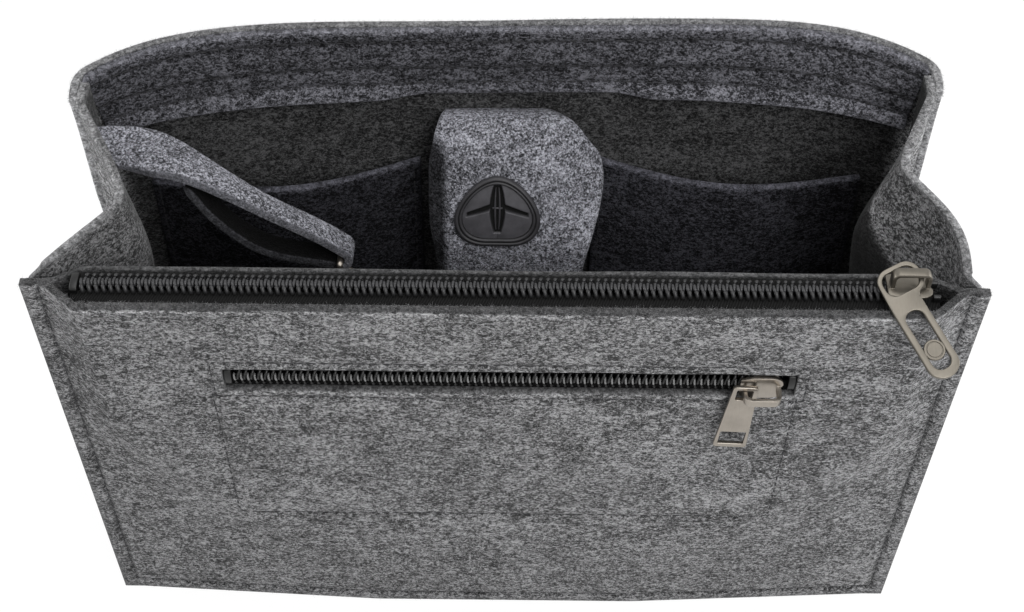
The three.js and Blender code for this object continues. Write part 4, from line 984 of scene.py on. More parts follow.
@dataclass(frozen=True)
class Form:
    """The felt body's shape, shared by every piece that is sewn to it."""

    width: float = 260.0
    depth: float = 82.0
    rear_height: float = 166.0
    front_height: float = 162.0
    felt: float = 2.5
    flange: float = 4.0
    gap: float = 0.3
    lip: float = 10.0
    bow_base: float = 4.0
    bow_top: float = 6.5
    rim_lean: float = 1.5
    rear_bow: float = 22.0
    rear_flare: float = 3.5
    rear_waist: float = 2.5
    rear_skew: float = 4.0
    rim_flare: float = 3.0
    rim_draw: float = 1.3
    rim_drop: float = 1.6
    corner: float = 10.0
    lap: float = 8.0
    mouth: float = 13.4
    belly: float = 17.0
    taper: float = 9.0
    seam_drop: float = 3.0
    band: float = 23.0
    slot_x: float = 1.5
    slot_z: float = 128.3
    slot_length: float = 161.0
    slot_height: float = 10.0
    bag_half: float = 83.0
    bag_bottom: float = 57.0

    @property
    def half(self) -> float:
        """Half of the width."""
        return self.width / 2

    @property
    def layer(self) -> float:
        """One felt and the gap beside it."""
        return self.felt + self.gap

    @property
    def pinch(self) -> float:
        """Where the front walls meet at the side seams."""
        return self.half - self.flange - self.layer

    @property
    def mouth_half(self) -> float:
        """Half of the zip mouth's straight run."""
        return self.pinch - self.taper

    @property
    def rear_half(self) -> float:
        """Half of the rear panel's width at its foot."""
        return self.half - self.flange + self.layer

    def slot_box(self, margin: float) -> tuple[float, float, float, float]:
        """The left, right, low and high edges of the pocket's slot, with a margin round it."""
        half_x, half_z = self.slot_length / 2 + margin, self.slot_height / 2 + margin
        return self.slot_x - half_x, self.slot_x + half_x, self.slot_z - half_z, self.slot_z + half_z

    def fade(self, x: Array, flat: Array | float) -> Array:
        """One in the front walls' flat middle, falling to nothing at the side seams."""
        return 1 - np.clip((np.abs(x) - flat) / (self.pinch - flat), 0, 1)

    def front_y(self, x: Array, z: Array) -> Array:
        """The front panel's outer face.

        Args:
            x: Places across.
            z: Heights.

        Returns:
            The face's place in y.
        """
        share = np.asarray(z) / self.front_height
        rim = between(self.lip, self.front_height, 6 / 7)
        lean = self.rim_lean * np.clip((np.asarray(z) - rim) / (self.front_height - rim), 0, 1)
        bow = between(self.bow_base, self.bow_top, share) + lean
        flat = between(self.half / 3, self.mouth_half, ease(share, 0, 0.7))
        return -self.depth / 2 - bow * self.fade(x, flat)

    def inner_y(self, x: Array, z: Array) -> Array:
        """The front face of the inner wall behind the zipped compartment.

        Args:
            x: Places across.
            z: Heights.

        Returns:
            The face's place in y.
        """
        share = np.maximum(np.asarray(z) - self.lip, 0) / (self.front_height - self.lip)
        swell = self.belly * ease(share, 0, 0.35)
        draw = (self.belly - self.mouth) * ease(share, 0.55, 0.95)
        room = self.gap + (swell - draw) * self.fade(x, self.mouth_half)
        return self.front_y(x, z) + self.felt + room

    def drawn_y(self, x: Array, z: Array) -> Array:
        """The inner wall's front face with its rim drawn forward to the zip."""
        draw = self.rim_draw * ease(z, self.front_height - 12, self.front_height - 2)
        return self.inner_y(x, z) - draw * self.fade(x, self.mouth_half)

    def rear_share(self, z: Array) -> Array:
        """The share of the rear panel's lean at a height."""
        return np.maximum(np.asarray(z, float) - self.lip, 0) / (self.rear_height - self.lip)

    def rear_span(self, z: Array) -> Array:
        """Half of the rear panel's run between its corners.

        Args:
            z: Heights.

        Returns:
            Half of the run.
        """
        share = self.rear_share(z)
        waist = self.rear_waist * np.sin(np.pi * share)
        flare = self.rear_flare * share + self.rim_flare * share ** 5
        return self.rear_half + flare - waist - self.corner

    def rear_y(self, x: Array, z: Array) -> Array:
        """The rear panel's outer face.

        Args:
            x: Places across.
            z: Heights.

        Returns:
            The face's place in y.
        """
        share = self.rear_share(z)
        out = np.abs(x / self.rear_half)
        fall = between(out ** 3, out ** 6, np.clip((share - 0.75) / 0.25, 0, 1) ** 1.2)
        bow = self.rear_bow * share ** 1.3 * (1 - fall)
        return self.depth / 2 + bow + self.rear_skew * share * (x / self.rear_half)

    def rear_inner_y(self, x: Array, z: Array, gap: float) -> Array:
        """A face at a gap inside the rear panel."""
        step = 0.5
        slope = (self.rear_y(x + step, z) - self.rear_y(x - step, z)) / (2 * step)
        return self.rear_y(x, z) - (self.felt + gap) * np.hypot(1, slope)

    def rear_corner(self, side: int, z: float) -> tuple[float, float, float]:
        """The centre and starting angle of the rear panel's corner.

        Args:
            side: -1 for the left corner, 1 for the right.
            z: The height.

        Returns:
            The centre's x and y, and the angle in radians.
        """
        x, step = side * float(self.rear_span(z)), 0.5
        y = float(self.rear_y(x, z))
        start = math.atan(-(float(self.rear_y(x + side * step, z)) - y) / step)
        return x - side * self.corner * math.sin(start), y - self.corner * math.cos(start), start


FORM = Form()


class Workshop:
    """Tools and finishes that every sub-assembly uses."""

    def __init__(self) -> None:
        """Makes the finishes and the recipes."""
        self.finish = {look: look.value[1].material() for look in Look}
        self.stitches, self.teeth, self.fuzz = StitchRecipe(), ToothRecipe(), FuzzRecipe()

    def fit(self, piece: Piece, look: Look, body: Body = Body.ORGANIZER, node: str = "") -> Piece:
        """Gives a finished piece its material and body, and hides the CAD node that it stands for.

        Args:
            piece: The finished piece.
            look: Its finish.
            body: The body it rides on.
            node: The CAD node that it replaces.

        Returns:
            The piece.
        """
        piece.data.materials.clear()
        piece.data.materials.append(self.finish[look])
        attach(piece, body.value)
        if node:
            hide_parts(node)
        LOG.info("%s: %d faces on %s", piece.name, len(piece.data.polygons), body.value)
        return piece

    def cloth(
        self,
        piece: Piece,
        look: Look,
        node: str,
        flat: tuple[float, float],
        held: Held,
        rests_on: str = "",
        area: float | None = None,
        body: Body = Body.ORGANIZER,
    ) -> None:
        """Fits a sheet of cloth.

        Args:
            piece: The finished sheet.
            look: Its finish.
            node: The CAD node that it replaces.
            flat: Its flat width and height.
            held: How it is held; not used.
            rests_on: The piece that it rests on; not used.
            area: Its flat area, where that isn't the flat size's; not used.
            body: The body it rides on.
        """
        self.fit(piece, look, body, node)
        flat[0] * MM
        flat[1] * MM

    def sew(self, name: str, lines: Sequence[Array]) -> None:
        """Lays stitches along lines of points on the felt's surface.

        Args:
            name: The stitches' name.
            lines: The lines, each an array of points.
        """
        points, edges, start = [], [], 0
        for line in lines:
            points.extend((np.asarray(line) * MM).tolist())
            edges.extend((start + k, start + k + 1) for k in range(len(line) - 1))
            start += len(line)
        mesh = bpy.data.meshes.new(name)
        mesh.from_pydata(points, edges, [])
        values = {**StitchRecipe.SIZES, "Material": self.finish[Look.THREAD]}
        self.fit(self.stitches.run(linked(name, mesh), values), Look.THREAD)

    def tease(
        self, name: str, source: Piece, chosen: Callable[[Array, Array], Array], density: float,
    ) -> None:
        """Stands loose fibres on part of a felt piece.

        Args:
            name: The fibres' name.
            source: The felt piece.
            chosen: Picks faces by their centres in millimetres and their normals.
            density: Fibres per square millimetre.
        """
        faces = source.data.polygons
        centres, normals = np.empty((2, len(faces) * 3), np.float32)
        faces.foreach_get("center", centres)
        faces.foreach_get("normal", normals)
        picked = chosen(centres.reshape(-1, 3) / MM, normals.reshape(-1, 3))
        points = np.array([vertex.co for vertex in source.data.vertices]) / MM
        piece = make_object(name, points, [face.vertices for face, take in zip(faces, picked) if take])
        values = {"Density": density / (MM * MM), **FuzzRecipe.SIZES, "Material": self.finish[Look.FIBRE]}
        self.fit(self.fuzz.run(piece, values), Look.FIBRE)

    def smooth_copy(self, node: str, edge: float, look: Look, body: Body = Body.ORGANIZER) -> None:
        """Adds a rigid node with its edges rounded, in metal or in the teeth's nylon.

        Args:
            node: The CAD node that it stands for.
            edge: The rounding's width.
            look: Its finish.
            body: The body it rides on.
        """
        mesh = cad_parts[node].data.copy()
        mesh.materials.clear()
        piece = outward(linked(node + ("_metal" if look.value[0] is Slot.NICKEL else "_nylon"), mesh))
        with edited(piece) as work:
            flat = math.radians(1)
            bmesh.ops.dissolve_limit(work, angle_limit=flat, verts=work.verts, edges=work.edges)
        rounded(piece, edge, 2, 28)
        piece.data.set_sharp_from_angle(angle=math.radians(50))
        self.fit(piece, look, body, node)


@dataclass
class FrontWalls:
    """The front panel with its slot, and the inner wall behind the zipped compartment."""

    shop: Workshop
    slot_seam: float = 3.0
    seam_inset: float = 4.6
    side_groove: tuple = (0.85, 0.9)
    foot_groove: tuple = (0.75, 0.9)
    bag_groove: tuple = (0.32, 0.7)
    slot_groove: tuple = (0.35, 0.6)
    rim_fuzz: float = 3.0
    face_fuzz: float = 0.35
    fuzzy_rim: float = 2.5
    unevenness: float = 0.4
    rim_highlight: float = 1.4
    rim_thin: float = 1.0
    step: float = 2.0

    @property
    def seam_x(self) -> float:
        """The side seams' distance from the middle."""
        return FORM.half - self.seam_inset

    def build(self) -> None:
        """Makes both walls and the front panel's stitching."""
        self.make_panel()
        self.make_inner_wall()
        self.sew_panel()

    def seam_depth(self, x: Array, z: Array) -> Array:
        """How far the stitching draws the front panel's face in.

        Args:
            x: Places across.
            z: Heights.

        Returns:
            The depth at each place.
        """
        out = np.abs(x)
        sides = groove(out - self.seam_x, *self.side_groove) * ease(z, 1, 4)
        foot = groove(z - self.seam_inset, *self.foot_groove) * (out < self.seam_x + 1)
        beside = (z < FORM.slot_z) & (z > FORM.bag_bottom - 1)
        bag = groove(out - FORM.bag_half, *self.bag_groove) * beside
        bag = bag + groove(z - FORM.bag_bottom, *self.bag_groove) * (out < FORM.bag_half + 1)
        off_x = np.abs(x - FORM.slot_x) - FORM.slot_length / 2 - self.slot_seam
        off_z = np.abs(z - FORM.slot_z) - FORM.slot_height / 2 - self.slot_seam
        slot = groove(np.maximum(off_x, off_z), *self.slot_groove)
        return np.maximum.reduce([sides, foot, bag, slot])

    def face(self, x: Array, z: Array) -> Array:
        """The front panel's outer face with its unevenness and seams."""
        calm = ease(FORM.half - np.abs(x), 2, 14) * ease(z, 2, 14)
        wave = self.unevenness * ripple(x, z, 5, 46.0) + 0.25 * self.unevenness * ripple(x, z, 6, 15.0)
        return FORM.front_y(x, z) - wave * calm + self.seam_depth(x, z)

    def make_panel(self) -> None:
        """Makes the front panel and its loose fibres."""
        left, right, low, high = FORM.slot_box(0.0)
        seam, top = self.slot_seam, FORM.front_height
        xs = stations(-FORM.half, FORM.half, self.step, [
            -self.seam_x, self.seam_x, -FORM.bag_half, FORM.bag_half, left, right, left - seam, right + seam,
        ])
        zs = stations(0, top, self.step, [
            self.seam_inset, FORM.bag_bottom, low, high, low - seam, high + seam, top - self.rim_highlight,
        ])
        x, z = np.meshgrid(xs, zs)
        mid_x, mid_z = (xs[1:] + xs[:-1]) / 2, (zs[1:] + zs[:-1]) / 2
        hole = np.outer((mid_z > low) & (mid_z < high), (mid_x > left) & (mid_x < right))
        drop = top - z
        # Painted light and shade: shade in the sewn grooves, light rising towards the right, a highlight line
        # just below the rim's edge and one under the slot, shade on the rim's top face; the inner face is
        # painted shade at 0.4.
        tone = 1 - 0.55 * np.clip(self.seam_depth(x, z), 0, 1)
        tone = tone * between(0.98, 1.1, (x / FORM.half + 1) / 2)
        tone = tone + 0.75 * groove(drop - self.rim_highlight, 1.0, 0.7)
        tone = tone + 0.3 * groove(z - low + 1.2, 1.0, 0.8) * (np.abs(x - FORM.slot_x) < FORM.slot_length / 2)
        tone = between(tone, 0.4, ease(-drop, -0.9, -0.2))
        near, far = xyz(x, self.face(x, z), z), xyz(x, FORM.front_y(x, z) + FORM.felt, z)
        piece = laminate("front_panel_felt", near, far, (tone, 0.4), cells=~hole)
        area = FORM.width * top - FORM.slot_length * FORM.slot_height
        size = (FORM.width, top)
        self.shop.cloth(piece, Look.FELT, "front_panel", size, Held.STRETCHED, "base_panel", area)
        rim = top - self.fuzzy_rim
        self.shop.tease("front_rim_fuzz", piece, lambda at, up: at[:, 2] > rim, self.rim_fuzz)
        self.shop.tease("front_face_fuzz", piece, lambda at, up: up[:, 1] < -0.6, self.face_fuzz)

    def make_inner_wall(self) -> None:
        """Makes the inner wall."""
        x, v = np.meshgrid(stations(-FORM.half, FORM.half, 2.5), np.linspace(0, 1, 64))
        fade = FORM.fade(x, FORM.mouth_half)
        z = v * (FORM.front_height - between(FORM.seam_drop, FORM.rim_drop, fade))
        y = FORM.drawn_y(x, z)
        wave = 0.5 * ripple(x, z, 8, 60.0) * ease(FORM.half - np.abs(x), 4, 30) * ease(v, 0, 0.2)
        thin = self.rim_thin * fade * ease(v, 0.94, 0.99)
        far = xyz(x, y + FORM.felt + wave - thin, z)
        # Painted shade: both faces of the inner wall at 0.4, rising to 0.5 at its rim.
        shade = between(0.4, 0.5, ease(v, 0.97, 1.0))
        piece = laminate("front_inner_wall_felt", xyz(x, y, z), far, (shade, shade))
        size = (FORM.width, FORM.front_height)
        self.shop.cloth(piece, Look.FELT, "front_inner_wall", size, Held.STRETCHED, "base_panel")

    def sew_panel(self) -> None:
        """Sews the front panel's seams: its outline, the lining bag's and the slot's."""
        left, right, low, high = FORM.slot_box(self.slot_seam)
        seam, inset, top = self.seam_x, self.seam_inset, FORM.front_height - 3
        bag, foot = FORM.bag_half, FORM.bag_bottom
        lines = []
        for count, corners in (
            (570, [(-seam, top), (-seam, inset), (seam, inset), (seam, top)]),
            (300, [(-bag, low), (-bag, foot), (bag, foot), (bag, low)]),
            (360, [(left, low), (right, low), (right, high), (left, high), (left, low)]),
        ):
            x, z = along(np.array(corners, float), count).T
            lines.append(xyz(x, self.face(x, z), z))
        self.shop.sew("front_panel_stitches", lines)


@dataclass
class RearWall:
    """The rear panel, the band inside its rim and the two slip pockets."""

    shop: Workshop
    columns: int = 130
    lap_lean: float = 0.8
    corner_steps: int = 8
    corner_light: float = 2.6
    foot_seam: float = 4.6
    foot_groove: tuple = (0.6, 0.9)
    band_groove: tuple = (0.5, 0.7)
    allowance: float = 2.0
    rim_fuzz: float = 5.0
    fuzzy_rim: float = 2.0
    band_lines: tuple[float, float] = (4.0, 13.0)
    band_half: float = 120.8
    margin: float = 4.2
    margin_flare: float = 2.2
    flap_x: float = 3.0
    flap_half: float = 28.0
    flap_press: float = 0.9
    slip_inner: float = 28.0
    slip_outer: float = 113.0
    slip_bottom: float = 12.0
    slip_top: float = 119.0
    slip_dip: float = 1.5
    slip_mouth: float = 9.5
    slip_seat: float = 0.45
    slip_seam: float = 2.2

    def build(self) -> None:
        """Makes the rear wall's pieces."""
        self.make_panel()
        self.make_band()
        for side, name in ((-1, "left_slip_pocket"), (1, "right_slip_pocket")):
            self.make_slip_pocket(side, name)
        self.sew_wall()

    def plan(self, z: float) -> Array:
        """The rear panel's outer face at one height, from the left return to the right one.

        Args:
            z: The height.

        Returns:
            The face's points.
        """
        span = float(FORM.rear_span(z))
        xs = np.linspace(-span, span, self.columns + 1)
        ends = {}
        for side in (-1, 1):
            x, y, start = FORM.rear_corner(side, z)
            angles = np.linspace(start, math.pi / 2, self.corner_steps + 1)[1:]
            across, back = side * FORM.corner * np.sin(angles), FORM.corner * np.cos(angles)
            turn = np.column_stack([x + across, y + back])
            steps = np.linspace(0, FORM.lap, 5)[1:]
            lean = side * self.lap_lean * (steps / FORM.lap) ** 2
            ends[side] = np.concatenate([turn, np.column_stack([turn[-1, 0] - lean, turn[-1, 1] - steps])])
        middle = np.column_stack([xs, FORM.rear_y(xs, z)])
        return xyz(*np.concatenate([ends[-1][::-1], middle, ends[1]]).T, z)

    def make_panel(self) -> None:
        """Makes the rear panel and the loose fibres on its rim."""
        top = FORM.rear_height
        outer = np.array([self.plan(z) for z in stations(0, top, 2.2, [self.foot_seam])])
        inner = outer + grid_normals(outer) * FORM.felt
        if inner[0, self.columns // 2, 1] > outer[0, self.columns // 2, 1]:
            inner = 2 * outer - inner
        x, z = outer[:, :, 0], outer[:, :, 2]
        inner[:, :, 2] = z
        calm = ease(z, 2, 14) * ease(FORM.rear_half - np.abs(x), 12, 30)
        outer[:, :, 1] += 0.5 * ripple(x, z, 11, 55.0) * calm - groove(z - self.foot_seam, *self.foot_groove)
        # Tones: the inner face is 0.26 below the rim's last 4 mm, rising to 1.1 at the rim; painted light
        # lifts the inner face on the corners and returns to 0.9, rising to corner_light near the top, and
        # brightens the outer face on the returns (1.15 to 1.6) and the returns' end columns (3.0 and 2.0).
        turned = ease(np.abs(x) - FORM.rear_span(z), -0.5, 0.6 * FORM.corner)
        inside = between(0.26, 1.1, ease(z, top - 4, top))
        inside = between(inside, between(0.9, self.corner_light, ease(z, 110, 150)), turned)
        outside = between(1.15, 1.6, turned)
        for face in (inside, outside):
            face[:, 0], face[:, -1] = 3.0, 2.0
        piece = laminate("rear_panel_felt", outer, inner, (outside, inside))
        size = (2 * (FORM.rear_half + FORM.lap + self.allowance), top)
        self.shop.cloth(piece, Look.FELT, "rear_panel", size, Held.STRETCHED, "base_panel")
        rim = top - self.fuzzy_rim
        self.shop.tease("rear_rim_fuzz", piece, lambda at, up: at[:, 2] > rim, self.rim_fuzz)

    def band_y(self, x: Array, z: Array) -> Array:
        """The band's inner face: sewn along its lines, with a lower margin that stands off.

        Args:
            x: Places across.
            z: Heights.

        Returns:
            The face's place in y.
        """
        drop = FORM.rear_height - z
        flare = self.margin_flare * np.clip((drop - FORM.band + self.margin) / self.margin, 0, 1) ** 1.2
        clear = ease(np.abs(x - self.flap_x), self.flap_half, 1.6 * self.flap_half)
        pressed = self.flap_press * (1 - clear) * ease(drop, 10, 16)
        seams = (*self.band_lines, FORM.band - self.margin)
        dents = sum(groove(drop - line, *self.band_groove) for line in seams) * between(0.4, 1.0, clear)
        puff = 0.35 * ripple(x, z * 2, 13, 30.0)
        return FORM.rear_inner_y(x, z, FORM.layer) - (flare + puff) * clear + pressed + dents

    def make_band(self) -> None:
        """Makes the band inside the rim."""
        top, low = FORM.rear_height, FORM.rear_height - FORM.band
        seam = low + self.margin
        zs = stations(low, top, 1.6, [*(top - line for line in self.band_lines), seam])
        share, z = np.meshgrid(np.linspace(-1, 1, 150), zs)
        x = share * FORM.rear_span(z)
        y = self.band_y(x, z)
        stand = np.minimum(y - FORM.rear_inner_y(x, z, FORM.layer), 0)
        # Painted light and shade: shade in the sewn dents, light rising towards the right (0.35 to 0.54),
        # painted light on the lower margin (1.3), its lowest edge (1.15) and the top edge (1.0); the back
        # face is 0.5.
        dents = sum(groove(top - z - line, 1.0, 0.7) for line in self.band_lines)
        tone = (1 - 0.5 * np.clip(dents, 0, 1)) * between(0.35, 0.54, (share + 1) / 2)
        tone = tone * between(1.3, 1.0, ease(z, seam - 1, seam))
        tone = tone * between(1.15, 1.0, ease(z, low + 0.4, low + 1.4))
        tone = between(tone, 1.0, ease(z, top - 1.2, top))
        far = xyz(x, FORM.rear_inner_y(x, z, FORM.gap) + stand, z)
        piece = laminate("rear_top_band_felt", xyz(x, y, z), far, (tone, 0.5))
        size = (2 * self.band_half, FORM.band)
        self.shop.cloth(piece, Look.BAND, "rear_top_band", size, Held.STRETCHED, "rear_panel_felt")

    def slip_y(self, x: Array, z: Array, u: Array | float, v: Array) -> Array:
        """The back of a slip pocket, which stands off towards its mouth."""
        stand = self.slip_mouth * np.sin(np.pi * u) * ease(v, 0, 0.6)
        return FORM.rear_inner_y(x, z, self.slip_seat) - stand

    def make_slip_pocket(self, side: int, name: str) -> None:
        """Makes one slip pocket.

        Args:
            side: -1 for the left pocket, 1 for the right.
            name: The CAD node that it stands for.
        """
        u, v = np.meshgrid(np.linspace(0, 1, 60), np.linspace(0, 1, 64))
        x = side * between(self.slip_inner, self.slip_outer, u)
        z = between(self.slip_bottom, self.slip_top - self.slip_dip * np.sin(np.pi * u), v)
        y = self.slip_y(x, z, u, v)
        wave = 0.5 * ripple(x, z, 20 + side, 40.0) * np.sin(np.pi * u) * ease(v, 0.02, 0.3)
        # Painted shade: the left pocket at 0.5 and the right at 0.75; painted light along the top edge (1.6).
        tone = between(0.5 if side < 0 else 0.75, 1.6, ease(v, 0.985, 1.0))
        piece = laminate(name + "_felt", xyz(x, y - FORM.felt - wave, z), xyz(x, y, z), (tone, tone))
        size = (self.slip_outer - self.slip_inner + 2 * self.allowance, self.slip_top - self.slip_bottom)
        self.shop.cloth(piece, Look.INNER, name, size, Held.HUNG, "rear_panel_felt")

    def sew_wall(self) -> None:
        """Sews the band and the slip pockets to the rear panel."""
        lines = []
        for drop in (*self.band_lines, FORM.band - self.margin):
            z = np.full(420, FORM.rear_height - drop)
            x = np.linspace(-1, 1, 420) * (FORM.rear_span(z) - 2)
            lines.append(xyz(x, self.band_y(x, z), z))
        z = np.linspace(self.slip_bottom + 2, self.slip_top - 2, 120)
        v = (z - self.slip_bottom) / (self.slip_top - self.slip_bottom)
        for side in (-1, 1):
            for place in (self.slip_inner + self.slip_seam, self.slip_outer - self.slip_seam):
                u = (place - self.slip_inner) / (self.slip_outer - self.slip_inner)
                lines.append(xyz(side * place, self.slip_y(side * place, z, u, v) - FORM.felt - 0.1, z))
        self.shop.sew("rear_wall_stitches", lines)


@dataclass
class Gusset:
    """One side felt, which folds inward between the front and rear walls."""

    shop: Workshop
    name: str
    side: int
    crease: float
    rim_ease: float
    bulge: float
    tones: tuple[float, float]
    shadow: float = 0.0
    fold: float = 21.0
    flat_width: float = 92.0
    soft: float = 0.2
    rows: int = 76

    def fold_at(self, z: Array) -> Array:
        """How far the crease lies inward at a height."""
        inward = self.fold * ease(z, FORM.lip, FORM.rear_height * 0.9)
        return inward - self.rim_ease * ease(z, FORM.rear_height * 0.8, FORM.rear_height)

    def rear_end(self, z: float) -> tuple[float, float]:
        """The rear end's place inside the rear panel's return."""
        x, y, _ = FORM.rear_corner(self.side, z)
        return abs(x) + FORM.corner - 1.5 * FORM.felt - 0.06, y

    def x_at(self, y: float, z: float) -> float:
        """The middle of the felt at a depth and height.

        Args:
            y: The depth.
            z: The height.

        Returns:
            The felt's place in x.
        """
        rear_x, rear_y = self.rear_end(z)
        front, back = self.lip_y, rear_y - FORM.lap
        behind = y >= self.crease
        reach = (y - self.crease) / ((back if behind else front) - self.crease)
        drop = (math.hypot(reach, self.soft) - self.soft) / (math.hypot(1, self.soft) - self.soft)
        straight = between(FORM.half - FORM.flange - FORM.felt / 2, rear_x, (y - front) / (back - front))
        rise = float(ease(z, FORM.rear_height / 2, FORM.rear_height))
        bulge = 0.0 if behind else self.bulge * math.sin(math.pi * reach) * rise
        return self.side * (straight - float(self.fold_at(z)) * (1 - drop) + bulge)

    @property
    def lip_y(self) -> float:
        """The depth of the lip sewn behind the front walls."""
        return -FORM.depth / 2 + 2 * FORM.layer + FORM.felt / 2

    def row(self, v: float) -> Array:
        """One level line of the gusset, from its front lip to its rear end.

        Args:
            v: The line's share of the height.

        Returns:
            The line's points.
        """
        low = v * (FORM.front_height - 2 * FORM.seam_drop)
        rear_x, rear_y = self.rear_end(low)
        back = rear_y - FORM.lap
        line = [(self.side * FORM.half, self.lip_y, low)]
        ahead = np.linspace(self.lip_y, self.crease, 26)
        for y in (*ahead, *np.linspace(self.crease, back, 26)[1:]):
            z = v * between(FORM.front_height, FORM.rear_height, (y - self.lip_y) / (back - self.lip_y))
            line.append((self.x_at(y, z), y, z))
        line.append((self.side * rear_x, rear_y, v * FORM.rear_height))
        return smoothed(along(np.array(line, float), 84), 3)

    def build(self) -> None:
        """Makes the gusset, with painted shade on its inner face low down and below a line under its fold,
        and painted light on its rim and outer face.
        """
        heights = np.linspace(0, 1, self.rows)
        grid = np.array([self.row(v) for v in heights])
        normals = grid_normals(grid)
        half = FORM.felt / 2 if normals[40, 40, 0] * self.side < 0 else -FORM.felt / 2
        near, far = grid + normals * half, grid - normals * half
        for face in (near, far):
            face[:, :, 2] = np.clip(face[:, :, 2], 0, None)
        up = np.broadcast_to(heights[:, None], grid.shape[:2])
        share = np.linspace(0, 1, grid.shape[1])[None, :]
        y, z = grid[:, :, 1], grid[:, :, 2]
        # Painted shade: darker low down and towards the rear end, with a random unevenness, and 0.06 under a
        # shadow line set by the shadow field, with a painted light line along it; painted light on the rim
        # (0.85) and the outer face (1.6).
        tone = between(*self.tones, ease(up, 0.35, 0.95)) * between(1.0, 0.45, ease(share, 0.8, 0.95))
        tone = tone * (1 + 0.25 * ripple(y, z * 0.6, 5, 22.0))
        shadow_line = up - self.shadow - 0.004 * (y - self.crease)
        tone = between(0.06, tone, ease(shadow_line, -0.014, 0.0)) + 0.4 * groove(shadow_line - 0.004, 1.0, 0.008)
        tone = between(tone, 0.85, ease(up, 0.985, 1.0))
        piece = laminate(self.name + "_felt", near, far, (tone, 1.6))
        size = (self.flat_width, FORM.rear_height)
        self.shop.cloth(piece, Look.FELT, self.name, size, Held.FOLDED, "base_panel")


@dataclass
class BaseTray:
    """The felt tray that makes the floor."""

    shop: Workshop
    points: int = 260
    fold: tuple = (6.0, 12.0)

    def outline(self, inset: float) -> Array:
        """The tray's outline at an inset.

        Args:
            inset: How far it lies inside the tray's edge.

        Returns:
            The outline's points.
        """
        side = FORM.half - FORM.flange - FORM.layer - inset
        rear = FORM.depth / 2 - FORM.layer - inset
        corner = FORM.corner - 2 * FORM.layer
        xs = np.linspace(-side, side, 60)
        front = np.column_stack([xs, FORM.front_y(xs, 0) + 2 * FORM.layer + inset])
        turn = np.linspace(0, math.pi / 2, 8)
        across, back = corner * np.cos(turn), corner * np.sin(turn)
        right = np.column_stack([side - corner + across, rear - corner + back])
        line = np.concatenate([front, right, right[::-1] * (-1, 1), front[:1]])
        return along(line, self.points + 1)[:-1]

    def build(self) -> None:
        """Makes the tray, ring by ring from its floor over its lip to its underside."""
        felt, lip = FORM.felt, FORM.lip
        rings = [
            *((felt, scale, felt) for scale in (0.2, 0.55, 0.85)), (felt + 1.2, 1, felt),
            (felt + 0.2, 1, felt + 0.9), (felt, 1, lip - 0.9), (felt - 0.6, 1, lip), (0.6, 1, lip),
            (0.0, 1, lip - 0.9), (0.0, 1, 1.0), (0.8, 1, 0.0),
            *((felt, scale, 0.0) for scale in (0.85, 0.55, 0.2)),
        ]
        points = []
        for inset, scale, z in rings:
            flat = self.outline(inset)
            middle = flat.mean(0)
            points.append(xyz(*(middle + (flat - middle) * scale).T, z))
        ends = tuple(range(self.points)), tuple(range(self.points * len(rings)))[-self.points:][::-1]
        faces = [*strip(len(rings), self.points), *ends]
        piece = make_object("base_panel_felt", np.concatenate(points), faces)
        # Painted shade: the floor and its inner wall at 0.45, the lip's top at 0.8; the outer wall and the
        # underside at 1.0.
        outward(paint(piece, tone=np.repeat([0.45] * 6 + [0.8] * 2 + [1.0] * 6, self.points)))
        size = (FORM.width + self.fold[0], FORM.depth + self.fold[1])
        self.shop.cloth(piece, Look.FELT, "base_panel", size, Held.FOLDED)


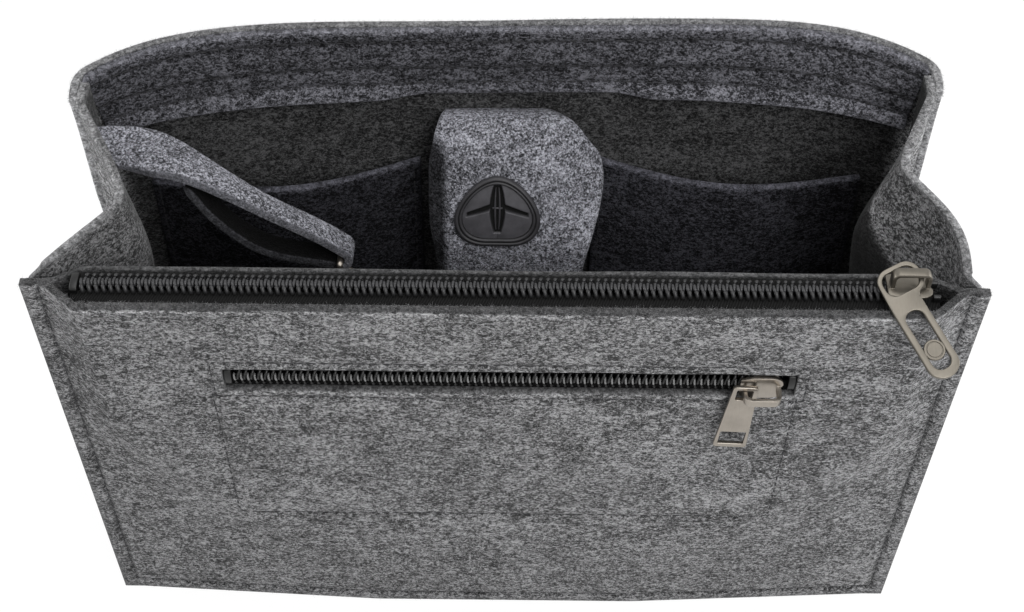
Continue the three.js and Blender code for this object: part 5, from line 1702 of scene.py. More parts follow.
@dataclass
class CablePouch:
    """The pouch at the rear wall's middle, its hood-like flap and the rubber cable port."""

    shop: Workshop
    x: float = 3.0
    half: float = 20.0
    depth: float = 24.0
    top: float = 94.0
    root_z: float = 136.0
    root_half: float = 23.0
    flap_half: float = 27.0
    end_half: float = 21.5
    drawn_half: float = 20.8
    flap_flat: tuple = (54.0, 106.0)
    flap_mean: float = 48.0
    shoulder: float = 10.5
    fold_x: float = -17.6
    fold_back: float = 5.0
    end_z: float = 66.0
    curl: float = 9.0
    rest_gap: float = 0.4
    root_gap: float = 0.6
    port_width: float = 27.0
    port_height: float = 23.0
    port_x: float = -3.0
    port_y: float = 27.5
    port_z: float = 119.0
    port_slope: float = 27.0
    port_sides: int = 160

    def build(self) -> None:
        """Makes the pouch, its flap and the port."""
        self.make_pouch()
        self.make_flap()
        self.make_port()

    def front_y(self, z: Array) -> Array:
        """The back of the pouch's front."""
        return FORM.rear_inner_y(self.x, z, FORM.gap) - self.depth

    def make_pouch(self) -> None:
        """Makes the pouch's front and sides."""
        zs = np.linspace(FORM.layer, self.top, 48)
        u, z = np.meshgrid(np.linspace(-1, 1, 24), zs)
        x, y = self.x + u * self.half, self.front_y(z)
        # Painted shade: the pouch's front at 0.9, its back face inside at 0.6, and its sides at 0.7.
        piece = laminate("pouch_front_felt", xyz(x, y - FORM.felt, z), xyz(x, y, z), (0.9, 0.6))
        size = (2 * self.half, self.top)
        self.shop.cloth(piece, Look.LIGHT, "pouch_front", size, Held.HUNG, "base_panel_felt")
        share, z = np.meshgrid(np.linspace(0, 1, 16), zs)
        low_rear = FORM.depth / 2 - 2 * FORM.layer
        for side, name in ((-1, "pouch_left_side"), (1, "pouch_right_side")):
            x = self.x + side * (self.half - FORM.felt)
            rear = np.where(z > FORM.lip + 2 * FORM.gap, FORM.rear_inner_y(x, z, FORM.gap), low_rear)
            near = xyz(x, between(self.front_y(z) + FORM.gap, rear, share), z)
            piece = laminate(name + "_felt", near, near + (side * FORM.felt, 0, 0), (0.7, 0.7))
            self.shop.cloth(piece, Look.INNER, name, (self.depth, self.top), Held.HUNG, "rear_panel_felt")

    def flap_line(self) -> tuple[Array, Array]:
        """The flap's middle line in depth and height, and the step of the CAD line at each point."""
        slope = math.radians(self.port_slope)
        way = np.array([math.sin(slope), math.cos(slope)]) * (self.port_height / 2 + FORM.gap)
        port = np.array([self.port_y, self.port_z])
        root_y = float(FORM.rear_inner_y(self.x, self.root_z, self.root_gap))
        above = port + way
        crown = spline([
            (root_y, self.root_z),
            (between(root_y, above[0], 0.3), self.root_z + FORM.felt),
            (between(root_y, above[0], 0.7), self.root_z + FORM.felt / 2),
            above,
        ], 8)
        fall = self.top + FORM.felt
        hang = [
            (float(self.front_y(z)) - FORM.felt - self.rest_gap - FORM.felt / 2, z)
            for z in (fall, between(fall, self.end_z, 0.5), self.end_z)
        ]
        line = np.concatenate([crown, [port], [port - way], hang])
        steps = np.concatenate([np.linspace(0, 5, len(crown)), [6, 7, 8, 9, 10]])
        count, length = 90, lengths(line)
        return smoothed(along(line, count), 4), np.interp(np.linspace(0, length[-1], count), length, steps)

    def make_flap(self) -> None:
        """Makes the flap, a hood whose sides curl back."""
        line, steps = self.flap_line()
        widen = between(self.root_half, self.flap_half, ease(steps, 0, 5))
        left = between(widen, self.end_half, ease(steps, 6, 10))[:, None]
        shoulder = between(self.shoulder, self.flap_half, np.sin(math.pi / 2 * np.clip(steps / 5.8, 0, 1)))
        right = smoothed(between(shoulder, self.drawn_half, ease(steps, 5.2, 8.4)), 6)[:, None]
        slope = np.gradient(line, axis=0)
        inward = unit(np.column_stack([-slope[:, 1], slope[:, 0]]))
        flat_right, flat_left = self.port_x + self.port_width / 2, self.port_x - self.port_width / 2
        u = np.linspace(-1, 1, 54)[None, :]
        x = self.x + np.where(u < 0, u * left, u * right)
        widest = self.x + self.flap_half - flat_right
        beyond = np.maximum(np.maximum(x - flat_right, flat_left - x), 0) / widest
        curl = self.curl * beyond ** 2 * (1 - ease(steps, 4, 8))[:, None]
        folded = np.clip((self.fold_x - x) / (self.fold_x - self.x + self.flap_half), 0, 1)
        folded = folded * ease(steps, 2.5, 5)[:, None]
        curl = np.maximum(curl, self.fold_back * folded)
        y = line[:, :1] + inward[:, :1] * curl
        z = line[:, 1:] + inward[:, 1:] * curl
        grid = xyz(x, np.minimum(y, FORM.rear_inner_y(x, z, self.root_gap)), z)
        near_port = np.hypot((x - self.port_x) / 17, (z - self.port_z) / 15)
        wave = 0.45 * ripple(x, z, 31, 26.0) * ease(near_port, 0.9, 1.6) * ease(steps, 3.5, 5.5)[:, None]
        normals = grid_normals(grid)
        if normals[60, 27, 1] > 0:
            normals = -normals
        skive = between(0.4, 1.0, ease(np.linspace(0, 1, len(line)), 0, 0.08))[:, None, None]
        near = grid + normals * (FORM.felt / 2 * skive + wave[:, :, None] * (skive == 1))
        far = grid - normals * (FORM.felt / 2 * skive)
        far[:, :, 1] = np.minimum(far[:, :, 1], FORM.rear_inner_y(far[:, :, 0], far[:, :, 2], 0.2))
        # Painted light rising to 1.45 towards the flap's lower end, painted shade on its folded-back left
        # side (0.16) and on its back face (0.55).
        tone = between(between(1.0, 1.45, ease(steps, 5.5, 8))[:, None], 0.16, ease(folded, 0.02, 0.3))
        piece = laminate("pouch_flap_felt", near, far, (tone, 0.55), 0.9)
        size, area, rests_on = self.flap_flat, self.flap_mean * self.flap_flat[1], "rear_panel_felt"
        self.shop.cloth(piece, Look.LIGHT, "pouch_flap", size, Held.HUNG, rests_on, area, Body.FLAP)

    def port_outline(self, inset: float, count: int) -> Array:
        """The port's rounded triangle at an inset, a line of cubic curves.

        Args:
            inset: How far it lies inside the port's edge.
            count: The number of points.

        Returns:
            The outline's points.
        """
        half, top = self.port_width / 2 - inset, self.port_height / 2 - inset
        right = [[(0.3, -1), (0.7, -1), (1, -0.75), (1, -0.25)], [(1, -0.25), (1, 0.2), (0.5, 1), (0, 1)]]
        left = [[(-x, y) for x, y in curve[::-1]] for curve in right[::-1]]
        line = []
        for curve in ([(-0.3, -1), (-0.1, -1), (0.1, -1), (0.3, -1)], *right, *left):
            a, b, c, d = np.array(curve) * (half, top)
            for s in np.linspace(0, 1, 30):
                r = 1 - s
                line.append(a * r ** 3 + 3 * b * s * r ** 2 + 3 * c * s * s * r + d * s ** 3)
        return along(np.array(line), count + 1)[:-1]

    def port_matrix(self) -> Matrix:
        """The port's place on the flap."""
        rise = Matrix.Translation((self.port_x, 0, FORM.felt / 2 + FORM.gap))
        turn = Matrix.Rotation(math.pi / 2 - math.radians(self.port_slope), 4, "X")
        return Matrix.Translation((0, self.port_y, self.port_z)) @ turn @ rise

    def make_port(self) -> None:
        """Makes the port: a rim and a boss in one profile, a domed face with slits, and lips in them."""
        rim = [
            (0.0, 0.0), (0.0, 0.9), (0.12, 1.35), (0.4, 1.7), (0.75, 1.85), (1.1, 1.85), (1.25, 1.45),
            (1.5, 1.45), (1.65, 1.8), (2.0, 1.85), (2.3, 1.7), (2.5, 1.2), (2.6, 0.6), (2.65, 0.0),
            (2.9, -0.3), (3.4, -0.3), (3.4, -4.6), (3.7, -5.0), (4.6, -5.0), (4.8, -4.6), (4.8, -0.9),
            (4.2, -0.9), (3.2, -0.7), (1.6, 0.0),
        ]
        loops = [xyz(*self.port_outline(inset, self.port_sides).T, z) for inset, z in rim]
        frame_shape = np.concatenate(loops), strip(len(rim), self.port_sides, True)
        # Painted shade in the rim's grooves (0.1); the rest of the rim is 0.9.
        dark = [0.1 if 1.2 < inset < 1.55 or 2.4 < inset < 3 else 0.9 for inset, _ in rim]
        face, tones = self.port_face()
        ridges = joined(*self.port_ridges())
        points, faces = joined(frame_shape, face, ridges)
        piece = make_object("cable_port_rubber", moved(points, self.port_matrix()), faces)
        # The face's tones hold painted shade down to black in the well and slits; the face is 1.85 and the
        # lips 1.2.
        tone = np.concatenate([np.repeat(dark, self.port_sides), tones, np.full(len(ridges[0]), 1.2)])
        self.shop.fit(outward(paint(piece, tone=tone)), Look.RUBBER, Body.FLAP, "cable_port")

    def port_face(self) -> tuple[Shape, Array]:
        """The port's domed face with a lens-shaped well and two side slits, and its brightness with painted
        shade in the well and slits.
        """
        x, y = np.meshgrid(np.linspace(-11.6, 11.6, 117), np.linspace(-9.6, 9.6, 97))
        dome = 0.35 + 1.35 * np.clip(1 - (x / 14) ** 2 - ((y + 0.5) / 12) ** 2, 0, 1)
        off = np.abs(y - 0.85) / 7.9
        lens = 2.45 * (1 - 0.55 * off ** 2) * (off < 1)
        well = ease(lens - np.abs(x), -0.1, 0.25)
        branch_y, wide = 2.3 - 0.36 * np.abs(x), 1.2 - 0.05 * np.abs(x)
        slit = ease(wide - np.abs(y - branch_y), -0.1, 0.2) * ease(9.9 - np.abs(x), 0, 0.5)
        cut = np.maximum(well, slit)
        middle_x, middle_y = (x[:-1, :-1] + x[1:, 1:]) / 2, (y[:-1, :-1] + y[1:, 1:]) / 2
        inside = inside_outline(self.port_outline(2.2, 120), middle_x, middle_y)
        near = xyz(x, y, np.maximum(dome - 1.8 * cut, -0.12))
        points, faces, used, _ = shell(near, xyz(x, y, -0.9), inside)
        return (points, faces.tolist()), np.tile(between(1.85, 0.0, cut).ravel(), 2)[used]

    def port_ridges(self) -> list[Shape]:
        """Two narrow lips that stand in the well, and a small bar across them."""
        ys = np.linspace(-6.2, 7.8, 30)
        bow = 0.5 * np.sqrt(np.clip(1 - (np.abs(ys - 0.8) / 7.6) ** 2, 0, 1)) + 0.22
        slim = 0.34 * (0.35 + 0.65 * np.sin(np.linspace(0.12, math.pi - 0.12, 30)))
        lips = [tube(xyz(side * bow, ys, 0.25), slim, 10) for side in (-1, 1)]
        return [*lips, tube(xyz(np.linspace(-1.6, 1.6, 9), 0.9, 0.2), 0.3, 8)]


@dataclass
class Chain:
    """A zip's coil teeth in the zip's own frame: X along it, Z out of the tape.

    Each string has loops that stay on its tape, and heads that reach past the middle line.
    """

    shop: Workshop
    joint: str
    travel: float
    start: float
    end: float
    place: Matrix
    pitch: float = 1.93
    outer: float = 2.72
    tip: float = 0.95
    top: float = 2.3
    slant: float = 0.75

    def loop(self, side: int, wire: float) -> Shape:
        """One loop of the coil, from under the tape's edge over to the middle line.

        Args:
            side: The string's side of the chain, -1 or 1.
            wire: The coil's radius.

        Returns:
            The points and faces.
        """
        line = spline([
            (self.slant, side * (self.outer - 0.5), 0.7),
            (0.95 * self.slant, side * self.outer, 1.2),
            (0.75 * self.slant, side * (self.outer - 0.4), self.top - 0.35),
            (0.5 * self.slant, side * 1.95, self.top),
            (0.3 * self.slant, side * 1.4, self.top - 0.15),
        ], 3)
        slim = np.full(len(line), wire)
        slim[-3:] = wire * np.array([0.9, 0.7, 0.45])
        return tube(line, slim, 8)

    def head(self, side: int, wire: float) -> Shape:
        """One head, which meshes with the other string.

        Args:
            side: The string's side of the chain, -1 or 1.
            wire: The coil's radius.

        Returns:
            The points and faces.
        """
        line = spline([
            (0.3 * self.slant, side * 1.45, self.top - 0.35),
            (0.05, side * 0.5, self.top - 0.05),
            (-0.05, -side * self.tip * 0.6, self.top - 0.2),
            (-0.05, -side * self.tip, self.top - 1.1),
        ], 3)
        slim = np.full(len(line), wire * 0.8)
        slim[[0, -1]] = wire * 0.45
        return tube(line, slim, 8)

    def build(self, node: str, side: int, wire: float, loop_look: Look, head_look: Look) -> None:
        """Makes one string of teeth.

        Args:
            node: The CAD node it stands for.
            side: The string's side of the chain.
            wire: The radius of its coil.
            loop_look: The finish of its loops.
            head_look: The finish of its heads.
        """
        first = np.array([self.start + self.pitch * (0.75 if side > 0 else 0.25), 0, 0])
        values = {
            "Count": int((self.end - self.start - self.slant) // self.pitch),
            "Pitch": (self.pitch * MM, 0.0, 0.0),
        }
        loop, head = self.loop(side, wire), self.head(side, wire)
        for part, (points, faces), look in (("loops", loop, loop_look), ("heads", head, head_look)):
            piece = outward(make_object(f"{node}_{part}", moved(points + first, self.place), faces))
            self.shop.teeth.run(piece, {**values, "Material": self.shop.finish[look]})
            self.shop.fit(piece, look, node=node if part == "heads" else "")
        left = 1 - self.travel / (self.end - self.start)
        self.start * MM
        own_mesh(piece)


@dataclass
class Zip:
    """What both zips share."""

    shop: Workshop
    slider_x: float
    travel: float
    tape: float = 0.6
    tape_edge: float = 1.5
    stop: float = 2.0
    slider_length: float = 12.0
    post: float = 2.6
    clearance: float = 0.3

    def chain(self, joint: str, start: float, place: Matrix) -> Chain:
        """The zip's teeth, from a start to the slider's post."""
        end = self.slider_x + self.slider_length / 2 - 2 * self.post
        return Chain(self.shop, joint, self.travel, start, end, place)


@dataclass
class MainZip(Zip):
    """The zip along the mouth of the front compartment."""

    slider_x: float = 107.8
    travel: float = 215.0
    tape_drop: float = 2.0
    tape_width: float = 12.5
    hem: float = 9.0
    crossing: float = 2.75
    slider_top: float = 4.1
    slider_half: float = 4.4
    lean: float = 22.0
    turn: float = 28.0
    pull_thickness: float = 1.3
    pull_length: float = 33.0
    pull_width: float = 9.0
    pull_edge: float = 0.28
    head: float = 12.4
    hole_width: float = 9.8
    hole_height: float = 6.6
    foot: float = 9.6
    slot_width: float = 5.4
    sway: float = -2.0

    @property
    def half(self) -> float:
        """Half of the tape's length."""
        return FORM.mouth_half + self.stop

    @property
    def tape_z(self) -> float:
        """The height of the tape's level part."""
        return FORM.front_height - self.tape_drop

    @property
    def middle_y(self) -> float:
        """The depth of the zip's middle line."""
        front = float(FORM.front_y(0.0, self.tape_z)) + FORM.felt
        return (front + float(FORM.inner_y(0.0, self.tape_z))) / 2

    def build(self) -> None:
        """Makes the tapes, teeth, slider, pull and stops."""
        for side, name in ((-1, "main_tape_front"), (1, "main_tape_rear")):
            self.make_tape(side, name)
        place = Matrix.Translation((0, self.middle_y, self.tape_z))
        chain = self.chain("main_zip_slide", -self.half + self.stop + self.clearance, place)
        chain.build("main_coil_front", -1, 0.6, Look.COIL, Look.BRIGHT_COIL)
        chain.build("main_coil_rear", 1, 0.55, Look.COIL, Look.BRIGHT_COIL)
        self.shop.smooth_copy("main_slider", 0.35, Look.SHADED_NICKEL, Body.MAIN_SLIDER)
        for node in ("main_bottom_stop", "main_top_stop_front", "main_top_stop_rear"):
            self.shop.smooth_copy(node, 0.2, Look.DARK_COIL)
        self.make_pull()

    def make_tape(self, side: int, name: str) -> None:
        """Makes one tape, level beside the teeth and hemmed down along its wall.

        Args:
            side: -1 for the front tape, 1 for the rear one.
            name: The CAD node that it stands for.
        """
        xs = np.linspace(-self.half, self.half, 180)
        seat = FORM.gap + self.tape / 2
        low = self.tape_z - self.hem
        grid = []
        for x in xs:
            wall = [
                float(FORM.front_y(x, z)) + FORM.felt + seat if side < 0 else float(FORM.drawn_y(x, z)) - seat
                for z in (self.tape_z, low)
            ]
            edge = self.middle_y + side * self.tape_edge
            line = [(edge, self.tape_z), (wall[0], self.tape_z), (wall[1], low)]
            grid.append(smoothed(along(np.array(line), 26), 5))
        points = xyz(xs, *np.array(grid).T)
        off = grid_normals(points) * self.tape / 2
        piece = laminate(name + "_weave", points + off, points - off, rounding=0.15)
        size = (2 * self.half, self.tape_width)
        self.shop.cloth(piece, Look.TAPE, name, size, Held.FOLDED, "front_panel_felt")

    def make_pull(self) -> None:
        """Makes the pull: a ring head, a slotted body with a disc, and a round foot."""
        wall = (self.head - self.hole_width) / 2
        tall = self.hole_height + 2 * wall
        foot_y = tall / 2 - self.pull_length + self.foot / 2
        hole = rounded_box(self.hole_width, self.hole_height, self.hole_height / 2 - wall / 2)
        top, low = -tall / 2 - 3 * wall, foot_y - self.foot / 2 + 2 * wall
        corner = self.slot_width / 2 - wall / 4
        slot = rounded_box(self.slot_width, top - low, corner, self.sway, (top + low) / 2)
        outlines = [self.pull_outline(tall, wall, foot_y), hole, slot]
        piece = plate("main_pull_metal", outlines, self.pull_thickness, self.pull_edge)
        points, faces = revolve([
            (0.0, 0.42), (1.95, 0.42), (2.05, 0.28), (2.2, 0.28), (2.3, 0.5), (2.75, 0.5),
            (2.9, 0.3), (2.9, -0.3), (2.7, -0.45), (0.0, -0.45),
        ], 40)
        disc = outward(make_object("pull_disc", points + (self.sway, foot_y + 2.6 * wall, 0.0), faces))
        disc.data.set_sharp_from_angle(angle=math.radians(35))
        with edited(piece) as work:
            work.from_mesh(disc.data)
        bpy.data.objects.remove(disc)
        lean = math.radians(self.lean)
        rise = self.pull_thickness / 2 / math.cos(lean) + self.slider_half * math.tan(lean)
        height = self.tape_z + self.slider_top + self.clearance + rise
        place = Matrix.Translation((self.slider_x + self.crossing, self.middle_y, height))
        turn = Matrix.Rotation(lean, 4, "X") @ Matrix.Rotation(math.radians(self.turn), 4, "Z")
        seat = Matrix.Translation((-(self.hole_width + wall) / 2, wall + 2 * self.clearance, 0))
        piece.data.transform(metric(place @ turn @ seat))
        self.shop.fit(piece, Look.SHADED_NICKEL, Body.MAIN_PULL, "main_pull")

    def pull_outline(self, tall: float, wall: float, foot_y: float) -> Array:
        """The pull's outer outline, head, waist and foot in one line.

        Args:
            tall: The head's height.
            wall: The width of the head's ring.
            foot_y: The place of the foot's middle.

        Returns:
            The outline.
        """
        lower = -tall / 2
        head = rounded_box(self.head, tall, tall / 2 - wall / 2)
        keep = [tuple(p) for p in head if p[1] > (lower + 0.2 if p[0] > 0 else 0.0)]
        keep.sort(key=lambda p: math.atan2(p[1] + tall / 2, p[0]))
        half = self.pull_width / 2
        foot = [
            (self.sway + self.foot / 2 * math.cos(t), foot_y + self.foot / 2 * math.sin(t))
            for t in np.linspace(math.radians(205), math.radians(335), 26)
        ]
        line = [
            (self.sway - half, lower - 0.5), (self.sway - half, foot_y + 1.5),
            (foot[0][0] - 0.2, foot[0][1] + 1.2), *foot, (foot[-1][0] + 0.2, foot[-1][1] + 1.2),
            (self.sway + half, foot_y + 1.5), (self.sway + half, lower - 0.5),
        ]
        return smoothed(along(np.array([*keep, *line, keep[0]]), 221), 2)[:-1]


@dataclass
class FrontPocket(Zip):
    """The zipped pocket in the front panel: tapes, teeth, slider, pull and lining bag."""

    slider_x: float = 72.0
    travel: float = 142.0
    tape_width: float = 10.0
    leg: float = 4.75
    pull_rise: float = 5.6
    pull_length: float = 29.0
    pull_top: float = 7.0
    pull_foot: float = 9.8
    pull_thickness: float = 1.2
    pull_edge: float = 0.25
    pull_tilt: float = 3.5
    bar: float = 1.2
    leg_room: float = 1.6
    bag_top: float = 139.8
    bag_belly: float = 6.0
    bag_edge: float = 8.0
    bag_shoulder: float = 13.0
    bag_seam: float = 6.0
    lining: float = 0.8

    def place(self) -> Matrix:
        """The zip's place: X along the slot, Z towards the front."""
        y = float(FORM.front_y(FORM.slot_x, FORM.slot_z)) + FORM.felt + FORM.gap + self.tape / 2
        return Matrix.Translation((0, y, FORM.slot_z)) @ Matrix.Rotation(math.pi / 2, 4, "X")

    def build(self) -> None:
        """Makes the pocket's pieces."""
        for side, name in ((1, "pocket_tape_upper"), (-1, "pocket_tape_lower")):
            self.make_tape(side, name)
        start = FORM.slot_x - FORM.slot_length / 2 + self.stop + 2 * self.clearance
        chain = self.chain("pocket_zip_slide", start, self.place())
        chain.build("pocket_coil_upper", 1, 0.46, Look.DARK_COIL, Look.DARK_COIL)
        chain.build("pocket_coil_lower", -1, 0.4, Look.DARK_COIL, Look.GLINTS)
        self.shop.smooth_copy("pocket_slider", 0.35, Look.NICKEL, Body.POCKET_SLIDER)
        for node in ("pocket_bottom_stop", "pocket_top_stop"):
            self.shop.smooth_copy(node, 0.2, Look.DARK_COIL)
        self.make_pull()
        self.make_bag()

    def make_tape(self, side: int, name: str) -> None:
        """Makes one tape behind the slot's edge.

        Args:
            side: 1 for the upper tape, -1 for the lower one.
            name: The CAD node that it stands for.
        """
        half = (FORM.slot_length + FORM.slot_height) / 2
        u, v = np.meshgrid(np.linspace(-1, 1, 120), np.linspace(0, 1, 10))
        x = FORM.slot_x + u * half
        z = FORM.slot_z + side * (self.tape_edge + self.tape_width * v)
        near = xyz(x, FORM.front_y(x, z) + FORM.felt + FORM.gap, z)
        piece = laminate(name + "_weave", near, near + (0, self.tape, 0), rounding=0.15)
        size = (2 * half, self.tape_width)
        self.shop.cloth(piece, Look.TAPE, name, size, Held.STRETCHED, "front_panel_felt")

    def make_pull(self) -> None:
        """Makes the pull, a plate that widens downward with a window at each end."""
        top = self.leg_room + self.bar
        low = top - self.pull_length
        cut, head, foot = self.bar / 2, self.pull_top / 2, self.pull_foot / 2
        outline = np.array([
            (-head, top - cut), (cut - head, top), (head - cut, top), (head, top - cut),
            (foot, low + cut), (foot - cut, low), (cut - foot, low), (-foot, low + cut), (-head, top - cut),
        ])
        eye, window = self.pull_top - 2 * self.bar, self.pull_foot - 2 * self.bar
        tall = 0.8 * window
        outlines = [
            smoothed(along(outline, 161), 1)[:-1],
            rounded_box(eye, eye, self.bar / 2, 0, self.leg_room - eye / 2),
            rounded_box(window, tall, self.bar / 3, 0, low + 1.4 * self.bar + tall / 2),
        ]
        piece = plate("pocket_pull_metal", outlines, self.pull_thickness, self.pull_edge)
        hang = Matrix.Translation((self.slider_x - self.leg, 0, self.pull_rise))
        turn = Matrix.Rotation(-math.radians(self.pull_tilt), 4, "Z")
        piece.data.transform(metric(self.place() @ hang @ turn))
        self.shop.fit(piece, Look.NICKEL, Body.POCKET_PULL, "pocket_pull")

    def make_bag(self) -> None:
        """Makes the lining bag behind the front panel."""
        u, v = np.meshgrid(np.linspace(-1, 1, 90), np.linspace(0, 1, 50))
        x, z = u * FORM.bag_half, between(FORM.bag_bottom, self.bag_top, v)
        inset, drop = np.minimum(FORM.bag_half - np.abs(x), z - FORM.bag_bottom), self.bag_top - z
        belly = self.bag_belly * ease(inset, 0, self.bag_edge) * ease(drop, 0, self.bag_shoulder)
        crumple = 0.5 * ripple(x, z, 41, 18.0) * ease(inset, 0, 14) * ease(drop, 4, 20)
        near = xyz(x, FORM.front_y(x, z) + FORM.felt + 2 * FORM.gap + self.tape + belly + crumple, z)
        piece = laminate("zip_pocket_bag_lining", near, near + (0, self.lining, 0), rounding=0.2)
        size = (2 * FORM.bag_half + self.bag_seam, self.bag_top - FORM.bag_bottom + self.bag_seam)
        self.shop.cloth(piece, Look.LINING, "zip_pocket_bag", size, Held.HUNG, "front_panel_felt")


@dataclass
class KeyStrap:
    """The folded felt strap on the left gusset, its wire ring and the swivel hook."""

    shop: Workshop
    gusset: Gusset
    width: float = 19.0
    tip_width: float = 10.0
    upper_length: float = 86.0
    upper_mean: float = 13.5
    under_length: float = 56.0
    under_mean: float = 12.5
    root_at: tuple = (-115.984, 17.0, 154.0)
    root_gap: float = 0.7
    droop: float = 9.0
    way: tuple = ((16.1, -1.5, -0.5), (33.97, -5.0, -7.0), (51.97, -8.0, -18.0), (67.464, -11.0, -29.0))
    twist: tuple = (0.12, 0.9, -0.38)
    ring_wire: float = 1.0
    ring_half: float = 7.0
    ring_drop: float = 8.0
    eye_radius: float = 4.2
    eye_wire: float = 1.1
    pin: float = 1.0
    hook_wire: float = 1.5
    gate_wire: float = 1.1
    barrel: float = 3.0
    barrel_length: float = 7.0
    hook_length: float = 25.0
    hook_half: float = 5.6

    def __post_init__(self) -> None:
        """Lays out the strap's line, as the CAD has it and as it is seen, and its frames."""
        root = np.array(self.root_at)
        step = 0.5
        before, middle, after = (self.gusset.x_at(root[1] + k * step, root[2]) for k in (-1, 0, 1))
        level = unit(np.array([after - before, 2 * step, 0.0]))
        self.line = spline([root, *(root + np.array(offset) for offset in self.way)], 24)
        self.forward = unit(np.gradient(self.line, axis=0))
        share = np.linspace(0, 1, len(self.line))
        turned = between(level, np.array(self.twist), ease(share, 0, 1)[:, None])
        square = -np.sum(turned * self.forward, 1) * ease(share, 0, 0.3)
        self.across = unit(turned + square[:, None] * self.forward)
        self.up = np.cross(self.forward, self.across)
        self.half = between(self.width, self.tip_width, ease(share, 0.55, 1)) / 2
        self.seen_half = between(self.width, self.tip_width, ease(share, 0.12, 0.7)) / 2
        sewn = np.array([middle + (FORM.felt / 2 + self.root_gap) / level[1] - root[0], 0.0, 0.0])
        aside = self.seen_half - self.half + 1.6 * (1 - ease(share, 0, 0.25))
        self.seen = self.line + self.across * aside[:, None] + sewn * (1 - ease(share, 0, 0.2))[:, None]
        self.fold_radius = self.ring_wire + FORM.gap + FORM.felt / 2
        self.bar = self.line[-1] - self.up[-1] * self.fold_radius
        down = np.array([0.0, 0.0, -1.0])
        self.ring_way = unit(down - np.dot(down, self.across[-1]) * self.across[-1])

    def build(self) -> None:
        """Makes the strap, the ring and the hook."""
        self.make_upper()
        self.make_under()
        self.make_ring()
        self.make_hook()

    def fold_point(self, angle: float) -> Array:
        """A point of the fold round the ring's bar."""
        up, forward = self.up[-1], self.forward[-1]
        return self.bar + self.fold_radius * (up * math.cos(angle) + forward * math.sin(angle))

    def strap_sheet(
        self,
        name: str,
        line: Array,
        across: Array,
        half: Array,
        crown: Array,
        tones: tuple[float, float],
        edge: float,
    ) -> Piece:
        """A strap of felt along a line.

        Args:
            name: The piece's name.
            line: The strap's middle line.
            across: Its width's direction at each point.
            half: Half of its width at each point.
            crown: How far its middle stands above its edges.
            tones: The brightness of its upper and lower faces.
            edge: The brightness of its long edges.

        Returns:
            The strap.
        """
        v = np.linspace(-1, 1, 22)
        grid = line[:, None, :] + across[:, None, :] * (half[:, None] * v[None, :])[:, :, None]
        normals = grid_normals(grid)
        if normals[len(line) // 3, 11, 2] < 0:
            normals = -normals
        grid = grid + normals * (crown[:, None] * (1 - v[None, :] ** 2))[:, :, None]
        skive = between(0.4, 1.0, ease(np.linspace(0, 1, len(line)), 0, 0.06))[:, None, None]
        off = normals * (FORM.felt / 2) * skive
        rim = np.broadcast_to(np.abs(v) > 0.97, grid.shape[:2])
        shades = tuple(np.where(rim, edge, tone) for tone in tones)
        return laminate(name, grid + off, grid - off, shades, 0.8)

    def make_upper(self) -> None:
        """Makes the strap's upper layer and its fold round the ring."""
        turns = 16
        fold = [self.fold_point(angle) for angle in np.linspace(0, math.radians(145), turns + 1)[1:]]
        line = np.concatenate([self.seen, fold])
        across = np.concatenate([self.across, np.repeat(self.across[-1:], turns, 0)])
        half = np.concatenate([self.seen_half, np.full(turns, self.half[-1])])
        share = np.linspace(0, 1, len(line))
        crown = 0.8 * ease(share, 0.05, 0.3) * (1 - ease(share, 0.75, 0.85))
        # Painted shade: the underside at 0.02 and the long edges at 0.7; the top face is 1.05.
        piece = self.strap_sheet("key_strap_upper_felt", line, across, half, crown, (1.05, 0.02), 0.7)
        size, area = (self.width, self.upper_length), self.upper_length * self.upper_mean
        rests_on = "left_gusset_felt"
        self.shop.cloth(piece, Look.LIGHT, "key_strap_upper", size, Held.HUNG, rests_on, area, Body.STRAP)

    def make_under(self) -> None:
        """Makes the strap's drooping under layer."""
        first, last = 0.36, len(self.line) - 1
        hang = []
        for share, droop in ((first, 0.0), (0.52, 0.75), (0.72, 1.0)):
            k = round(share * last)
            hang.append(self.seen[k] - self.up[k] * (FORM.layer + droop * self.droop))
        line = spline([*hang, self.fold_point(math.pi)], 20)
        places = np.round(between(first, 1, np.linspace(0, 1, len(line))) * last).astype(int)
        half, crown = self.seen_half[places] - FORM.gap, np.zeros(len(line))
        # Painted shade: the under layer's upper face at 0.01, its lower face at 0.1 and its long edges at
        # 0.2.
        piece = self.strap_sheet(
            "key_strap_under_felt", line, self.across[places], half, crown, (0.01, 0.1), 0.2,
        )
        size, area = (self.width, self.under_length), self.under_length * self.under_mean
        rests_on = "key_strap_upper_felt"
        self.shop.cloth(piece, Look.LIGHT, "key_strap_under", size, Held.HUNG, rests_on, area, Body.STRAP)

    def make_ring(self) -> None:
        """Makes the wire ring: a straight bar and a half ellipse below it."""
        side, drop = self.across[-1] * self.ring_half, self.ring_way * self.ring_drop
        bow = [self.bar + side * math.cos(t) + drop * math.sin(t) for t in np.linspace(0, math.pi, 33)]
        bar = [self.bar + side * s for s in np.linspace(-1, 1, 9)[1:-1]]
        line = smoothed(along(np.array([*bow, *bar, bow[0]]), 101), 1)[:-1]
        points, faces = tube(line, self.ring_wire, closed=True)
        piece = outward(make_object("d_ring_metal", points, faces))
        self.shop.fit(piece, Look.NICKEL, Body.STRAP, "d_ring")

